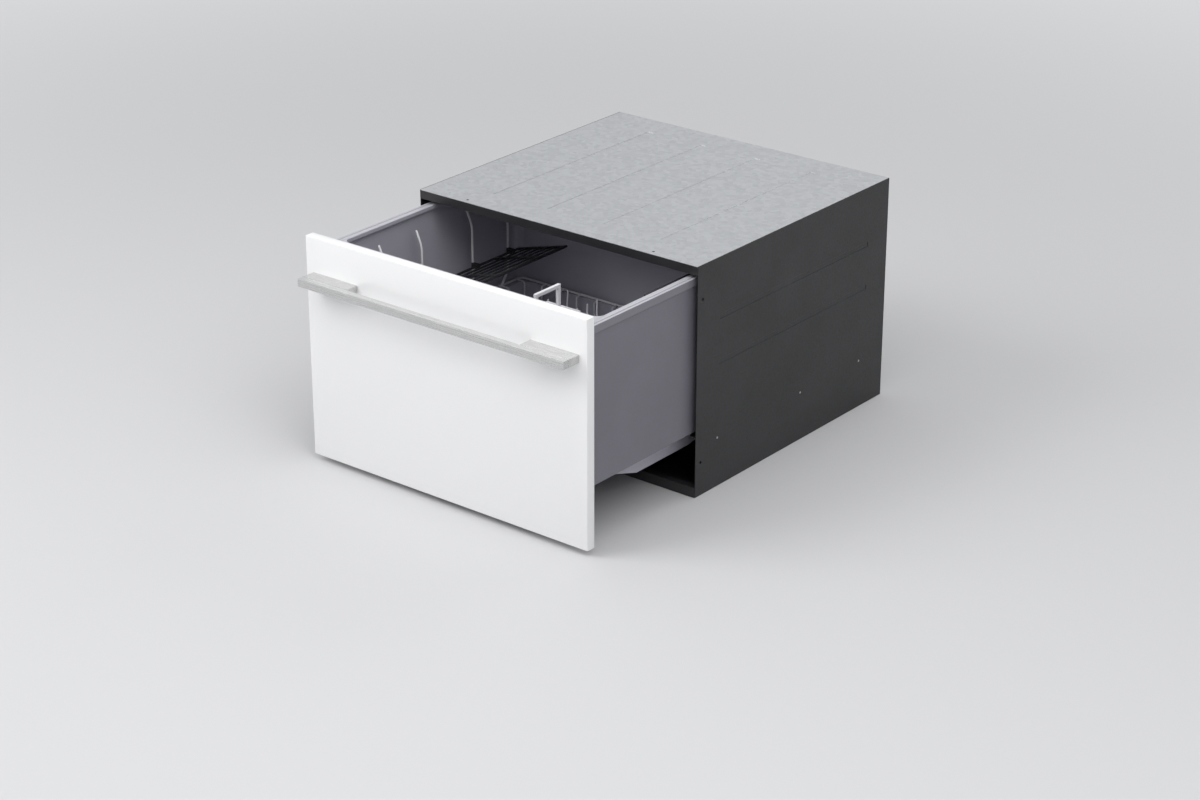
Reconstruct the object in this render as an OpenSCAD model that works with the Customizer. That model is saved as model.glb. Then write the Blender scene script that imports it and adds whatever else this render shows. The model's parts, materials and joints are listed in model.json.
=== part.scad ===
// Dishwasher drawer: a built-in chassis with one pull-out tub behind a plain door front.
// Millimetres. +X is to the right, +Y goes into the cabinet, +Z is up.
// The origin is on the underside of the base pan, in the middle of the chassis.
// Chassis pieces are written from the chassis front, drawer pieces from the back of the door front.

/* [Chassis] */
// Outer width of the chassis
chassis_w = 598; // [570:1:640]
// Depth of the chassis, front edge to back sheet
chassis_d = 555; // [545:1:620]
// Height of the chassis
chassis_h = 410; // [405:1:440]
// Thickness of the chassis sheet metal
sheet = 1.2; // [0.8:0.1:1.6]
// Height of the turned-up edge of the base pan
pan_edge_h = 16; // [10:1:18]
// Depth of the trim along the bottom front edge
sill_d = 12; // [8:1:20]
// Depth of the crossbar over the opening
crossbar_d = 22; // [16:1:24]
// Height of the crossbar over the opening
crossbar_h = 15; // [10:1:16]
// Free depth behind the closed tub
rear_bay = 49; // [46:1:60]

/* [Drawer travel] */
// How far the drawer stands open
drawer_open = 262; // [0:1:480]
// Gap between the closed door front and the chassis
panel_gap = 3; // [2:0.5:5]

/* [Door front] */
// Gap between the door front's edge and the chassis side line
panel_side_gap = 0.5; // [0:0.5:3]
// Height of the door front
panel_h = 396; // [380:1:400]
// Thickness of the door front
panel_t = 18; // [16:1:22]
// Height of the chassis top above the door front's top edge
panel_top_drop = 2; // [0:0.5:5]

/* [Handle] */
// Distance from the door front's side edge to the handle's end
handle_end_gap = 15.5; // [10:0.5:60]
// Height of the bar and its posts
handle_h = 14; // [10:1:20]
// Thickness of the bar, front to back
handle_bar_t = 12.5; // [8:0.5:16]
// Finger gap between the bar and the door front
handle_gap = 26; // [22:1:40]
// Length of each post along the bar
handle_post_l = 98.6; // [70:0.1:120]
// Distance from the door front's top edge to the handle's top
handle_top_drop = 61.5; // [55:0.5:90]
// Diameter of the handle screws
handle_screw_d = 4; // [3:0.5:5]

/* [Tub] */
// Gap between the chassis side line and the tub skirt
side_gap = 13; // [11:0.5:20]
// Drop from the door front's top edge to the rim
rim_drop = 22; // [20:0.5:24]
// Width of the rim seen from above
rim_w = 16; // [14:0.5:18]
// How far the rim band stands proud of the skirt
rim_proud = 2; // [1:0.5:3]
// Height of the rim band
rim_band_h = 14; // [10:1:20]
// Height of the lip under the rim's inner edge
rim_lip_h = 7; // [5:0.5:9]
// Thickness of the rim
rim_t = 3; // [2:0.5:4]
// Thickness of the upper tub walls
tub_wall = 5; // [4:0.5:6]
// Thickness of the skirt
skirt_t = 4; // [3:0.5:5]
// Height of the skirt's lower edge over the chassis underside
skirt_z = 112; // [108:1:124]
// Depth of the control bay between the door front and the tub
control_bay = 30; // [28:1:34]
// Height of the runner bay behind the skirt
runner_bay_h = 68; // [66:1:76]
// Width of the shoulder that the racks rest on, at the sides
shoulder_w = 23; // [22:1:28]
// Width of the shoulder at the front and back
shoulder_end_w = 10; // [8:1:14]
// Thickness of the basin walls and floor
floor_t = 4; // [3:0.5:5]
// Fall of the tub floor to the sump
funnel_drop = 38; // [30:1:40]
// Radius of the inside corners
corner_r = 18; // [8:1:24]

/* [Wash system] */
// Distance from the back of the door front to the middle of the sump
sump_y = 235; // [225:1:250]
// Inside radius of the sump well
sump_r = 62; // [56:1:64]
// Depth of the sump well
sump_deep = 26; // [22:1:28]
// Thickness of the sump walls
sump_t = 3; // [2:0.5:4]
// Distance from the sump centre to the drain filter
filter_x = 112; // [108:1:120]
// Outside radius of the drain filter cup
filter_r = 32; // [26:1:33]
// Radius of the wash motor
motor_r = 50; // [40:1:54]
// Height of the wash motor
motor_h = 24; // [18:1:26]
// Diameter of the wash motor shaft
shaft_d = 8; // [6:0.5:10]
// Length of each spray arm blade
arm_l = 184; // [150:1:186]
// Width of a spray arm blade at the hub
arm_w = 44; // [30:1:50]
// Height of the spray arm's underside over the low floor
arm_lift = 42; // [40:1:46]
// Thickness of the spray arm
arm_t = 12; // [8:1:13]
// Diameter of the spray arm's bearing pin
arm_pin_d = 12; // [8:1:16]

/* [Racks] */
// Diameter of the rack frame wire
frame_wire = 4; // [3:0.5:5]
// Diameter of the grid wire and tines
grid_wire = 3; // [2.5:0.5:3.5]
// Depth of the racks' wire floor under the shoulder
rack_deep = 40; // [34:1:44]
// Distance between tines
tine_pitch = 27; // [22:1:34]
// Height of the tines over the rack floor
tine_h = 72; // [50:1:76]
// Length of a cup rack, hinge to free edge
cup_rack_w = 114; // [90:1:116]
// Tilt of the lowered cup rack
cup_rack_tilt = 15; // [5:1:20]
// Height of the cup rack hinge over the shoulder
cup_hinge_h = 74; // [72:1:90]

/* [Cutlery basket] */
// Width of the basket
basket_w = 70; // [50:1:76]
// Length of the basket
basket_l = 84; // [70:1:88]
// Distance from the rim down to the carrying handle's top
basket_top_drop = 5.6; // [4:0.2:40]
// Height of the carrying handle over the body
basket_grip_h = 42; // [30:1:60]
// Thickness of the basket walls
basket_t = 2.4; // [2:0.2:3]

/* [Controls and dispenser] */
// Length of a button
button_l = 18; // [12:1:24]
// Width of a button
button_w = 9; // [7:0.5:12]
// Button travel
button_travel = 1.5; // [1:0.1:2]
// Width of the detergent dispenser
dispenser_w = 130; // [120:1:150]
// Height of the detergent dispenser
dispenser_h = 76; // [70:1:84]
// Width of the detergent cup
cup_w = 64; // [50:1:66]
// Height of the detergent cup
cup_h = 50; // [40:1:52]

/* [Hidden] */

round_fn = 48;       // smoothness of round parts
wire_sides = 4;      // sides of a wire
eps = 1;             // how far a cut runs past a face
run_gap = 0.05;      // radial clearance of a shaft in its bore
seat_gap = 0.3;      // clearance between pieces of different bodies
slide_gap = 1.5;     // clearance of the skirt past a runner bracket

// Heights
panel_top_z = chassis_h - panel_top_drop;
rim_z = panel_top_z - rim_drop;
shoulder_z = skirt_z + runner_bay_h + floor_t;
floor_z = skirt_z - funnel_drop;
sump_z = floor_z - sump_deep;
motor_z = sump_z - motor_h;

// Depths, from the back of the door front
front_wall_y = control_bay;
rim_back_y = chassis_d - sheet - rear_bay + panel_gap;
tub_back_y = rim_back_y - rim_proud;
rim_front_y = front_wall_y - rim_proud;

// Half widths
chassis_x = chassis_w / 2;
inner_x = chassis_x - sheet;
panel_x = chassis_x - panel_side_gap;
skirt_x = chassis_x - side_gap;
rim_x = skirt_x + rim_proud;
rim_in_x = rim_x - rim_w;
wall_x = skirt_x - tub_wall;
basin_x = wall_x - shoulder_w;
basin_out_x = basin_x + floor_t;

// Basin, front and back
basin_y0 = front_wall_y + tub_wall + shoulder_end_w;
basin_y1 = tub_back_y - tub_wall - shoulder_end_w;
rim_in_y0 = rim_front_y + rim_w;
rim_in_y1 = rim_back_y - rim_w;

// The closed drawer stands panel_gap in front of the chassis
drawer_shift = drawer_open + panel_gap;

module in_chassis() translate([0, -chassis_d / 2, 0]) children();
module in_drawer() translate([0, -chassis_d / 2 - drawer_shift, 0]) children();

// A block from its low and high corners
module block(low, high) translate(low) cube([high.x - low.x, high.y - low.y, high.z - low.z]);

// A block that is centred on X
module wide_block(half, y0, y1, z0, z1) block([-half, y0, z0], [half, y1, z1]);

// A flat outline with round corners, centred on X
module round_outline(half, y0, y1, r) {
    translate([-half + r, y0]) square([2 * (half - r), y1 - y0]);
    translate([-half, y0 + r]) square([2 * half, y1 - y0 - 2 * r]);
    for (x = [-half + r, half - r], y = [y0 + r, y1 - r])
        translate([x, y]) circle(r = r, $fn = round_fn);
}

module round_block(half, y0, y1, z0, z1, r)
    translate([0, 0, z0]) linear_extrude(z1 - z0) round_outline(half, y0, y1, r);

module rod(r, z0, z1) translate([0, 0, z0]) cylinder(r = r, h = z1 - z0, $fn = round_fn);

// A rod along +Y
module rod_y(r, y0, y1) translate([0, y1, 0]) rotate([90, 0, 0]) cylinder(r = r, h = y1 - y0, $fn = round_fn);

// A straight wire between two points; d is its thickness across the flats
module wire(from, to, d) {
    run = to - from;
    length = norm(run);
    translate(from)
        rotate([0, acos(run.z / length), atan2(run.y, run.x)]) rotate([0, 0, 180 / wire_sides])
            cylinder(h = length, d = d / cos(180 / wire_sides), $fn = wire_sides);
}

module other_side() mirror([1, 0, 0]) children();

// ---------- Chassis ----------
pan_top_z = sheet + pan_edge_h;
screw_r = 2.5;                 // radius of the cabinet screws' holes
screw_y = 14;                  // their distance from the chassis front
screw_end = 60;                // their distance from the chassis top and bottom
screw_zs = [screw_end, chassis_h - screw_end];
screw_ys = [60, 300, 480];     // screws that hold the runner brackets
bead_w = 10;                   // pressed beads that stiffen the sheets
bead_deep = 0.7;
bead_in = 60;                  // distance of a bead's ends from the sheet's edges
side_bead_zs = [220, 300];
back_bead_xs = [-120, 0, 120];
back_bead_z = [130, chassis_h - bead_in];
top_screw_x = 200;             // screws up through the crossbar
back_port_z = 50;              // height of the water and power ports
port_inset = 119;              // distance of the water and power ports from the chassis side
inlet_x = chassis_x - port_inset;
gland_x = -inlet_x;
inlet_r = 13.2;                // three-quarter inch thread
drain_r = 10;
gland_r = 9;
gland_bore_r = 4.2;
port_gap = 1;

module base_pan() color("dimgray") in_chassis() {
    difference() {
        wide_block(inner_x, 0, chassis_d - sheet, 0, pan_top_z);
        wide_block(inner_x - sheet, sheet, chassis_d - 2 * sheet, sheet, pan_top_z + eps);
    }
    // Two pressed ribs stiffen the pan
    for (y = [chassis_d * 0.3, chassis_d * 0.7])
        wide_block(inner_x - bead_in, y - rib_w / 2, y + rib_w / 2, sheet, 2 * sheet);
}

module side_panel() difference() {
    union() {
        block([inner_x, 0, 0], [chassis_x, chassis_d, chassis_h]);
        for (z = side_bead_zs)
            block([inner_x - bead_deep, bead_in, z], [inner_x, chassis_d - bead_in, z + bead_w]);
    }
    for (z = side_bead_zs)
        block([chassis_x - bead_deep, bead_in + bead_deep, z + bead_deep],
            [chassis_x + eps, chassis_d - bead_in - bead_deep, z + bead_w - bead_deep]);
    for (z = screw_zs)
        translate([inner_x, screw_y, z]) rotate([0, 90, 0])
            cylinder(r = screw_r, h = 4 * sheet, center = true, $fn = round_fn);
    for (y = screw_ys)
        translate([inner_x, y, bracket_flange_z]) rotate([0, 90, 0])
            cylinder(r = flange_hole_r, h = 4 * sheet, center = true, $fn = round_fn);
}
module side_panel_right() color("silver") in_chassis() side_panel();
module side_panel_left() color("silver") in_chassis() other_side() side_panel();

module back_panel() color("silver") in_chassis() difference() {
    union() {
        wide_block(inner_x, chassis_d - sheet, chassis_d, 0, chassis_h);
        for (x = back_bead_xs)
            translate([x, 0, 0])
                wide_block(bead_w / 2, chassis_d - sheet - bead_deep, chassis_d - sheet,
                    back_bead_z[0], back_bead_z[1]);
    }
    for (x = back_bead_xs)
        translate([x, 0, 0])
            wide_block(bead_w / 2 - bead_deep, chassis_d - bead_deep, chassis_d + eps,
                back_bead_z[0] + bead_deep, back_bead_z[1] - bead_deep);
    for (port = [[inlet_x, back_port_z, inlet_r], [filter_x, pump_z, drain_r],
            [gland_x, back_port_z, gland_r]])
        translate([port[0], 0, port[1]])
            rod_y(port[2] + port_gap, chassis_d - 2 * sheet, chassis_d + sheet);
}

rib_w = 12;
rib_xs = [-180, -60, 60, 180];
module top_panel() color("silver") in_chassis() difference() {
    union() {
        wide_block(inner_x, 0, chassis_d - sheet, chassis_h - sheet, chassis_h);
        for (x = rib_xs)
            translate([x, 0, 0])
                wide_block(rib_w / 2, bead_in, chassis_d - bead_in,
                    chassis_h - sheet - bead_deep, chassis_h - sheet);
    }
    for (x = rib_xs)
        translate([x, 0, 0])
            wide_block(rib_w / 2 - bead_deep, bead_in + bead_deep, chassis_d - bead_in - bead_deep,
                chassis_h - bead_deep, chassis_h + eps);
    for (x = [-top_screw_x, top_screw_x])
        translate([x, crossbar_d / 2, 0]) rod(screw_r, chassis_h - 2 * sheet, chassis_h + eps);
}

// The trim laps over the turned-up front edge of the pan
module front_sill() color("dimgray") in_chassis() {
    wide_block(inner_x, -sheet, 0, 0, pan_top_z + sheet);
    wide_block(inner_x, -sheet, sill_d, pan_top_z, pan_top_z + sheet);
}

module front_crossbar() color("dimgray") in_chassis() difference() {
    wide_block(inner_x, 0, crossbar_d, chassis_h - sheet - crossbar_h, chassis_h - sheet);
    wide_block(inner_x + eps, sheet, crossbar_d - sheet,
        chassis_h - 2 * sheet - crossbar_h, chassis_h - 2 * sheet);
    for (x = [-top_screw_x, top_screw_x])
        translate([x, crossbar_d / 2, 0]) rod(screw_r, chassis_h - 3 * sheet, chassis_h + eps);
}

module chassis_screws() color("silver") in_chassis()
    for (side = [0, 1], y = screw_ys)
        mirror([side, 0, 0]) translate([inner_x - bracket_t, y, bracket_flange_z]) rotate([0, 90, 0]) {
            translate([0, 0, -2]) cylinder(r = 4, h = 2, $fn = round_fn);
            cylinder(r = flange_hole_r - run_gap, h = bracket_t + sheet, $fn = round_fn);
        }

// ---------- Runners ----------
// From the outside in: skirt, bracket, fixed member, middle member, drawer member, basin wall
bracket_t = 1.5;
bracket_y0 = 10;
bracket_y1 = chassis_d - 50;
bracket_x = skirt_x - skirt_t - slide_gap;      // outer face of the upright
bracket_leg_z = skirt_z - 9;                    // underside of the leg, below the skirt
bracket_flange_z = bracket_leg_z - 14;          // height of the flange screws
bracket_flange_h = 28;
flange_hole_r = 2;
member_t = 1.5;
bay_x = bracket_x - bracket_t - basin_out_x;    // width left for the three members
fixed_z0 = skirt_z + 6;
fixed_z1 = shoulder_z - floor_t - 14;
ball_gap = 2.5;                                 // room for the ball cage between two members
mid_z0 = fixed_z0 + member_t + ball_gap;
mid_z1 = fixed_z1 - member_t - ball_gap;
drawer_z0 = mid_z0 + member_t + ball_gap;
drawer_z1 = mid_z1 - member_t - ball_gap;
runner_y0 = 8;
runner_l = bracket_y1 - runner_y0;
cage_t = ball_gap - seat_gap;

module runner_bracket() difference() {
    union() {
        block([bracket_x - bracket_t, bracket_y0, bracket_leg_z],
            [bracket_x, bracket_y1, fixed_z1]);
        block([bracket_x - bracket_t, bracket_y0, bracket_leg_z],
            [inner_x, bracket_y1, bracket_leg_z + bracket_t]);
        block([inner_x - bracket_t, bracket_y0, bracket_leg_z - bracket_flange_h],
            [inner_x, bracket_y1, bracket_leg_z + bracket_t]);
    }
    for (y = screw_ys)
        translate([inner_x, y, bracket_flange_z]) rotate([0, 90, 0])
            cylinder(r = flange_hole_r, h = 8 * sheet, center = true, $fn = round_fn);
}
module runner_bracket_right() color("gray") in_chassis() runner_bracket();
module runner_bracket_left() color("gray") in_chassis() other_side() runner_bracket();

// A C-shaped member: a web with a flange at the top and the bottom
module c_member(web_x0, web_x1, lip_x, z0, z1, y0, y1) {
    block([web_x0, y0, z0], [web_x1, y1, z1]);
    low = min(web_x0, lip_x);
    high = max(web_x1, lip_x);
    block([low, y0, z1 - member_t], [high, y1, z1]);
    block([low, y0, z0], [high, y1, z0 + member_t]);
}

fixed_web_x = bracket_x - bracket_t;
mid_web_x = basin_out_x + bay_x * 0.5;
module runner_fixed() c_member(fixed_web_x - member_t, fixed_web_x, mid_web_x - 1,
    fixed_z0, fixed_z1, runner_y0, bracket_y1);
module runner_fixed_right() color("silver") in_chassis() runner_fixed();
module runner_fixed_left() color("silver") in_chassis() other_side() runner_fixed();

// The middle member carries the ball cages on both sides of its flanges
module runner_mid() translate([0, -drawer_open / 2, 0]) {
    c_member(mid_web_x, mid_web_x + member_t, fixed_web_x - member_t - seat_gap,
        mid_z0, mid_z1, runner_y0, bracket_y1);
    c_member(mid_web_x, mid_web_x + member_t, basin_out_x + member_t + seat_gap,
        mid_z0, mid_z1, runner_y0, bracket_y1);
    for (z = [mid_z0 - cage_t, mid_z1])
        block([mid_web_x, runner_y0 + runner_l / 2, z],
            [fixed_web_x - member_t - 2 * seat_gap, bracket_y1, z + cage_t]);
    for (z = [mid_z0 + member_t, mid_z1 - member_t - cage_t])
        block([basin_out_x + member_t + 2 * seat_gap, runner_y0, z],
            [mid_web_x, runner_y0 + runner_l / 2, z + cage_t]);
}
module runner_mid_right() color("gainsboro") in_chassis() runner_mid();
module runner_mid_left() color("gainsboro") in_chassis() other_side() runner_mid();

module runner_drawer() c_member(basin_out_x, basin_out_x + member_t, mid_web_x - seat_gap,
    drawer_z0, drawer_z1, runner_y0 + panel_gap, bracket_y1 + panel_gap - 20);
module runner_drawer_right() color("silver") in_drawer() runner_drawer();
module runner_drawer_left() color("silver") in_drawer() other_side() runner_drawer();

// ---------- Lid ----------
lid_travel = 7;
lid_down_z = rim_z + seat_gap;
seal_z = lid_down_z + lid_travel;               // underside of the seal, lid raised
seal_h = 6;
lid_t = 4;
lid_z = seal_z + seal_h;
lid_x = rim_x;
lid_y0 = rim_front_y - panel_gap;
lid_y1 = rim_back_y - panel_gap;
pin_r = 3;
pin_x = (rim_x + inner_x) / 2;
pin_ys = [70, 430];
pin_drop = 24;                                  // length of a guide pin under the top sheet
ear_l = 20;
actuator_x = 230;
actuator_w = 36;
actuator_y0 = lid_y1 + 6;
actuator_y1 = chassis_d - sheet;
actuator_z0 = rim_z - 42;
actuator_z1 = rim_z + 4;
lifter_r = 4;
lifter_y = actuator_y0 + 14;

module lid() color("darkgray") in_chassis() {
    difference() {
        round_block(lid_x, lid_y0, lid_y1, lid_z, lid_z + lid_t, 8);
        round_block(lid_x - 30, lid_y0 + 30, lid_y1 - 30, lid_z - eps, lid_z + lid_t / 2, 8);
    }
    for (side = [-1, 1], y = pin_ys)
        difference() {
            block([min(side * (lid_x - 2), side * (inner_x - 1)), y - ear_l / 2, lid_z],
                [max(side * (lid_x - 2), side * (inner_x - 1)), y + ear_l / 2, lid_z + lid_t]);
            translate([side * pin_x, y, 0]) rod(pin_r + run_gap, lid_z - eps, lid_z + lid_t + eps);
        }
    for (side = [-1, 1])
        difference() {
            translate([side * actuator_x, 0, 0])
                wide_block(lifter_r * 2, lid_y1 - 2, lifter_y + 2 * lifter_r, lid_z, lid_z + lid_t);
            translate([side * actuator_x, lifter_y, 0]) rod(lifter_r - 1, lid_z - eps, lid_z + lid_t + eps);
        }
}

module lid_seal() color("black") in_chassis() difference() {
    round_block(lid_x - 2, lid_y0 + 2, lid_y1 - 2, seal_z, lid_z, 8);
    round_block(rim_in_x + 3, rim_in_y0 - panel_gap - 3, rim_in_y1 - panel_gap + 3,
        seal_z - eps, lid_z + eps, 8);
}

module lid_lifters() color("silver") in_chassis()
    for (side = [-1, 1])
        translate([side * actuator_x, lifter_y, 0]) {
            rod(lifter_r, actuator_z0 + lid_travel + 5, lid_z);
            rod(lifter_r - 1, lid_z, lid_z + lid_t);
        }

module lid_guide_pins() color("silver") in_chassis()
    for (side = [-1, 1], y = pin_ys)
        translate([side * pin_x, y, 0]) rod(pin_r, chassis_h - sheet - pin_drop, chassis_h - sheet);

module lid_actuators() color("#303030") in_chassis()
    for (side = [-1, 1])
        difference() {
            translate([side * actuator_x, 0, 0])
                wide_block(actuator_w / 2, actuator_y0, actuator_y1, actuator_z0, actuator_z1);
            translate([side * actuator_x, lifter_y, 0])
                rod(lifter_r + run_gap, actuator_z0 + 3, actuator_z1 + eps);
        }

// ---------- Water, drain and power at the back ----------
module inlet_valve() color("white") in_chassis() translate([inlet_x, 0, back_port_z]) {
    block([-17, chassis_d - 46, -16], [17, chassis_d - sheet, 16]);
    rod_y(inlet_r, chassis_d - sheet, chassis_d + 13);
    // Solenoid coil on a seat over the valve
    translate([0, chassis_d - 26, 16]) cylinder(r = 12, h = 26, $fn = round_fn);
    // Stand on the pan
    block([-10, chassis_d - 40, sheet - back_port_z], [10, chassis_d - 12, -16]);
}

module drain_spigot() color("#303030") in_chassis() translate([filter_x, 0, pump_z]) {
    difference() {
        rod_y(drain_r, chassis_d - 40, chassis_d + 26);
        rod_y(drain_r - 2.5, chassis_d - 34, chassis_d + 27);
    }
    difference() {
        rod_y(drain_r + 8, chassis_d - sheet - 3, chassis_d - sheet);
        rod_y(drain_r - 1, chassis_d - sheet - 4, chassis_d);
    }
}

module power_gland() color("black") in_chassis() translate([gland_x, 0, back_port_z]) {
    difference() {
        union() {
            rod_y(gland_r, chassis_d - 24, chassis_d + 10);
            block([-30, chassis_d - 44, -20], [30, chassis_d - sheet, 24]);
        }
        rod_y(gland_bore_r, chassis_d - 20, chassis_d + 11);
    }
    block([-20, chassis_d - 40, sheet - back_port_z], [20, chassis_d - 10, -20]);
}

module flood_sensor() color("orange") in_chassis() {
    block([-14, chassis_d - 60, sheet], [14, chassis_d - 20, sheet + 6]);
    translate([0, chassis_d - 40, 0]) rod(8, sheet + 6, sheet + 12);
}

// ---------- Tub ----------
outer_r = 8;                                    // radius of the outside corners
lip_t = 2;
groove_in = 5;                                  // groove along the rim, from the outer edge
groove_w = 1.5;
groove_deep = 1;
low_half = 65;                                  // half length of the low flat floor
low_x = basin_x - 8;
pocket_gap = 3;                                 // room round the drain filter
pocket_r = filter_r + pocket_gap;
vent_x = -145;
vent_z = rim_z - 86;
vent_r = 20;
dispenser_z = rim_z - 82;                       // middle of the dispenser
dispenser_in = 8;                               // flange of the dispenser round its box

module tub() color("slategray") in_drawer() difference() {
    union() {
        round_block(skirt_x, front_wall_y, tub_back_y, shoulder_z - floor_t, rim_z, outer_r);
        round_block(basin_out_x, basin_y0 - floor_t, basin_y1 + floor_t,
            skirt_z - floor_t, shoulder_z, corner_r + floor_t);
        tub_funnel(floor_t, floor_t);
        rim_plate();
        for (side = [0, 1]) mirror([side, 0, 0]) {
            block([skirt_x - skirt_t, sheet, skirt_z], [skirt_x, tub_back_y - outer_r, shoulder_z]);
            block([wall_x, sheet, shoulder_z - floor_t], [skirt_x, front_wall_y + outer_r, rim_z]);
        }
    }
    // Inside of the upper walls, down to the shoulder
    round_block(wall_x, front_wall_y + tub_wall, tub_back_y - tub_wall,
        shoulder_z, rim_z - rim_lip_h, corner_r);
    // The mouth, with the lip that hangs from its edge
    round_block(rim_in_x, rim_in_y0, rim_in_y1, shoulder_z, rim_z + eps, corner_r - 4);
    difference() {
        round_block(wall_x, front_wall_y + tub_wall, tub_back_y - tub_wall,
            rim_z - rim_lip_h - eps, rim_z - rim_t, corner_r);
        round_block(rim_in_x + lip_t, rim_in_y0 - lip_t, rim_in_y1 + lip_t,
            rim_z - rim_lip_h - 2 * eps, rim_z, corner_r - 4 + lip_t);
    }
    round_block(basin_x, basin_y0, basin_y1, skirt_z, shoulder_z + eps, corner_r);
    tub_funnel(0, 0);
    // Groove along the sides and back of the rim
    translate([0, 0, rim_z - groove_deep]) linear_extrude(2 * groove_deep) difference() {
        round_outline(rim_x - groove_in, -20, rim_back_y - groove_in, outer_r);
        round_outline(rim_x - groove_in - groove_w, -40, rim_back_y - groove_in - groove_w, outer_r);
    }
    // Openings for the sump, the filter, the dispenser and the fan
    translate([0, sump_y, 0]) rod(sump_r, floor_z - 2 * floor_t, floor_z + eps);
    translate([filter_x, sump_y, 0]) rod(pocket_r, floor_z - 2 * floor_t, floor_z + eps);
    wide_block(dispenser_w / 2 - dispenser_in, front_wall_y - eps, front_wall_y + tub_wall + eps,
        dispenser_z - dispenser_h / 2 + dispenser_in, dispenser_z + dispenser_h / 2 - dispenser_in);
    translate([vent_x, 0, vent_z]) rod_y(vent_r, front_wall_y - eps, front_wall_y + tub_wall + eps);
}

// The floor falls from the walls to a low flat strip; grow makes the outside
module tub_funnel(grow, drop) hull() {
    round_block(basin_x + grow, basin_y0 - grow, basin_y1 + grow,
        skirt_z - drop, skirt_z - drop + 0.1, corner_r + grow);
    wide_block(low_x + grow, sump_y - low_half - grow, sump_y + low_half + grow,
        floor_z - drop, floor_z - drop + 0.1);
}

// Rim: a top plate round the mouth and along the control bay, with a proud band outside
module rim_plate() {
    difference() {
        round_block(rim_x, sheet, rim_back_y, rim_z - rim_t, rim_z, outer_r + rim_proud);
        wide_block(rim_in_x, 0, rim_front_y, rim_z - rim_t - eps, rim_z + eps);
    }
    difference() {
        round_block(rim_x, -20, rim_back_y, rim_z - rim_band_h, rim_z, outer_r + rim_proud);
        wide_block(rim_x + eps, -30, sheet, rim_z - rim_band_h - eps, rim_z + eps);
        round_block(skirt_x - eps, -20, tub_back_y - eps, rim_z - rim_band_h - eps, rim_z + eps, outer_r);
    }
}

// ---------- Door front ----------
frame_x = basin_out_x;
frame_drop = 52;                                 // how far the frame reaches below the skirt
frame_z0 = skirt_z - frame_drop;
frame_z1 = rim_z - 16;
frame_w = 20;
frame_t = 1.5;
clip_h = 40;
clip_zs = [frame_z0 + 30, frame_z0 + 150, frame_z0 + 265];
clip_w = 16;
handle_top_z = panel_top_z - handle_top_drop;
handle_z = handle_top_z - handle_h / 2;
handle_front_y = -panel_t - handle_gap - handle_bar_t;
handle_x = panel_x - handle_end_gap;             // half length of the bar
post_x = handle_x - handle_post_l;               // inner end of a post
handle_screw_xs = [post_x + 20, post_x + 50];
screw_in = 12;                                   // how far a screw goes into its post
screw_head_r = 4.2;
screw_head_t = 2.6;

module front_panel() color("white") in_drawer() difference() {
    wide_block(panel_x, -panel_t, 0, panel_top_z - panel_h, panel_top_z);
    for (side = [-1, 1], x = handle_screw_xs)
        translate([side * x, 0, handle_z]) rod_y(handle_screw_d / 2 + 0.2, -panel_t - eps, eps);
}

module door_frame() color("silver") in_drawer() {
    difference() {
        wide_block(frame_x, 0, front_wall_y, frame_z0, frame_z1);
        wide_block(frame_x - frame_t, frame_t, front_wall_y + eps, frame_z0 + frame_t, frame_z1 - frame_t);
        wide_block(frame_x - frame_w, -eps, 2 * frame_t, frame_z0 + frame_w, frame_z1 - frame_w);
    }
}

module panel_brackets() color("silver") in_drawer()
    for (side = [0, 1], z = clip_zs)
        mirror([side, 0, 0]) {
            block([frame_x, 0, z], [frame_x + clip_w, frame_t, z + clip_h]);
            block([frame_x, 0, z], [frame_x + frame_t, 8, z + clip_h]);
            translate([frame_x + clip_w * 0.6, 0, z + clip_h / 2]) rod_y(3, frame_t, frame_t + 1.6);
        }

module handle_bar() color("silver") in_drawer()
    wide_block(handle_x, handle_front_y, handle_front_y + handle_bar_t,
        handle_top_z - handle_h, handle_top_z);

module handle_posts() color("silver") in_drawer()
    for (side = [0, 1])
        mirror([side, 0, 0]) difference() {
            block([post_x, handle_front_y + handle_bar_t, handle_top_z - handle_h],
                [handle_x, -panel_t, handle_top_z]);
            for (x = handle_screw_xs)
                translate([x, 0, handle_z])
                    rod_y(handle_screw_d / 2 + run_gap, -panel_t - screw_in - eps, -panel_t + eps);
        }

module handle_screws() color("gray") in_drawer()
    for (side = [-1, 1], x = handle_screw_xs)
        translate([side * x, 0, handle_z]) {
            rod_y(handle_screw_d / 2, -panel_t - screw_in, 0);
            difference() {
                rod_y(screw_head_r, 0, screw_head_t);
                wide_block(0.6, screw_head_t - 1.2, screw_head_t + eps, -3, 3);
                wide_block(3, screw_head_t - 1.2, screw_head_t + eps, -0.6, 0.6);
            }
        }

// ---------- Controls ----------
strip_z0 = frame_z1;
strip_z1 = rim_z - 2;
strip_floor = 2;
button_proud = 1.4;
button_xs = [-60, -30, 0];
button_y = (sheet + rim_front_y) / 2;
button_gap = 0.3;
display_x = [40, 120];

module control_strip() color("#404348") in_drawer() difference() {
    wide_block(rim_in_x, sheet, rim_front_y, strip_z0, strip_z1);
    for (x = button_xs)
        translate([x, button_y, 0])
            wide_block(button_l / 2 + button_gap, -button_w / 2 - button_gap,
                button_w / 2 + button_gap, strip_z0 + strip_floor, strip_z1 + eps);
    block([display_x[0], button_y - 5, strip_z1 - 0.6], [display_x[1], button_y + 5, strip_z1 + eps]);
}

module push_button(x) color("gainsboro") in_drawer() translate([x, button_y, 0])
    wide_block(button_l / 2, -button_w / 2, button_w / 2,
        strip_z0 + strip_floor + button_travel + seat_gap, strip_z1 + button_proud);
module power_button() push_button(button_xs[0]);
module program_button() push_button(button_xs[1]);
module start_button() push_button(button_xs[2]);

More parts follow.
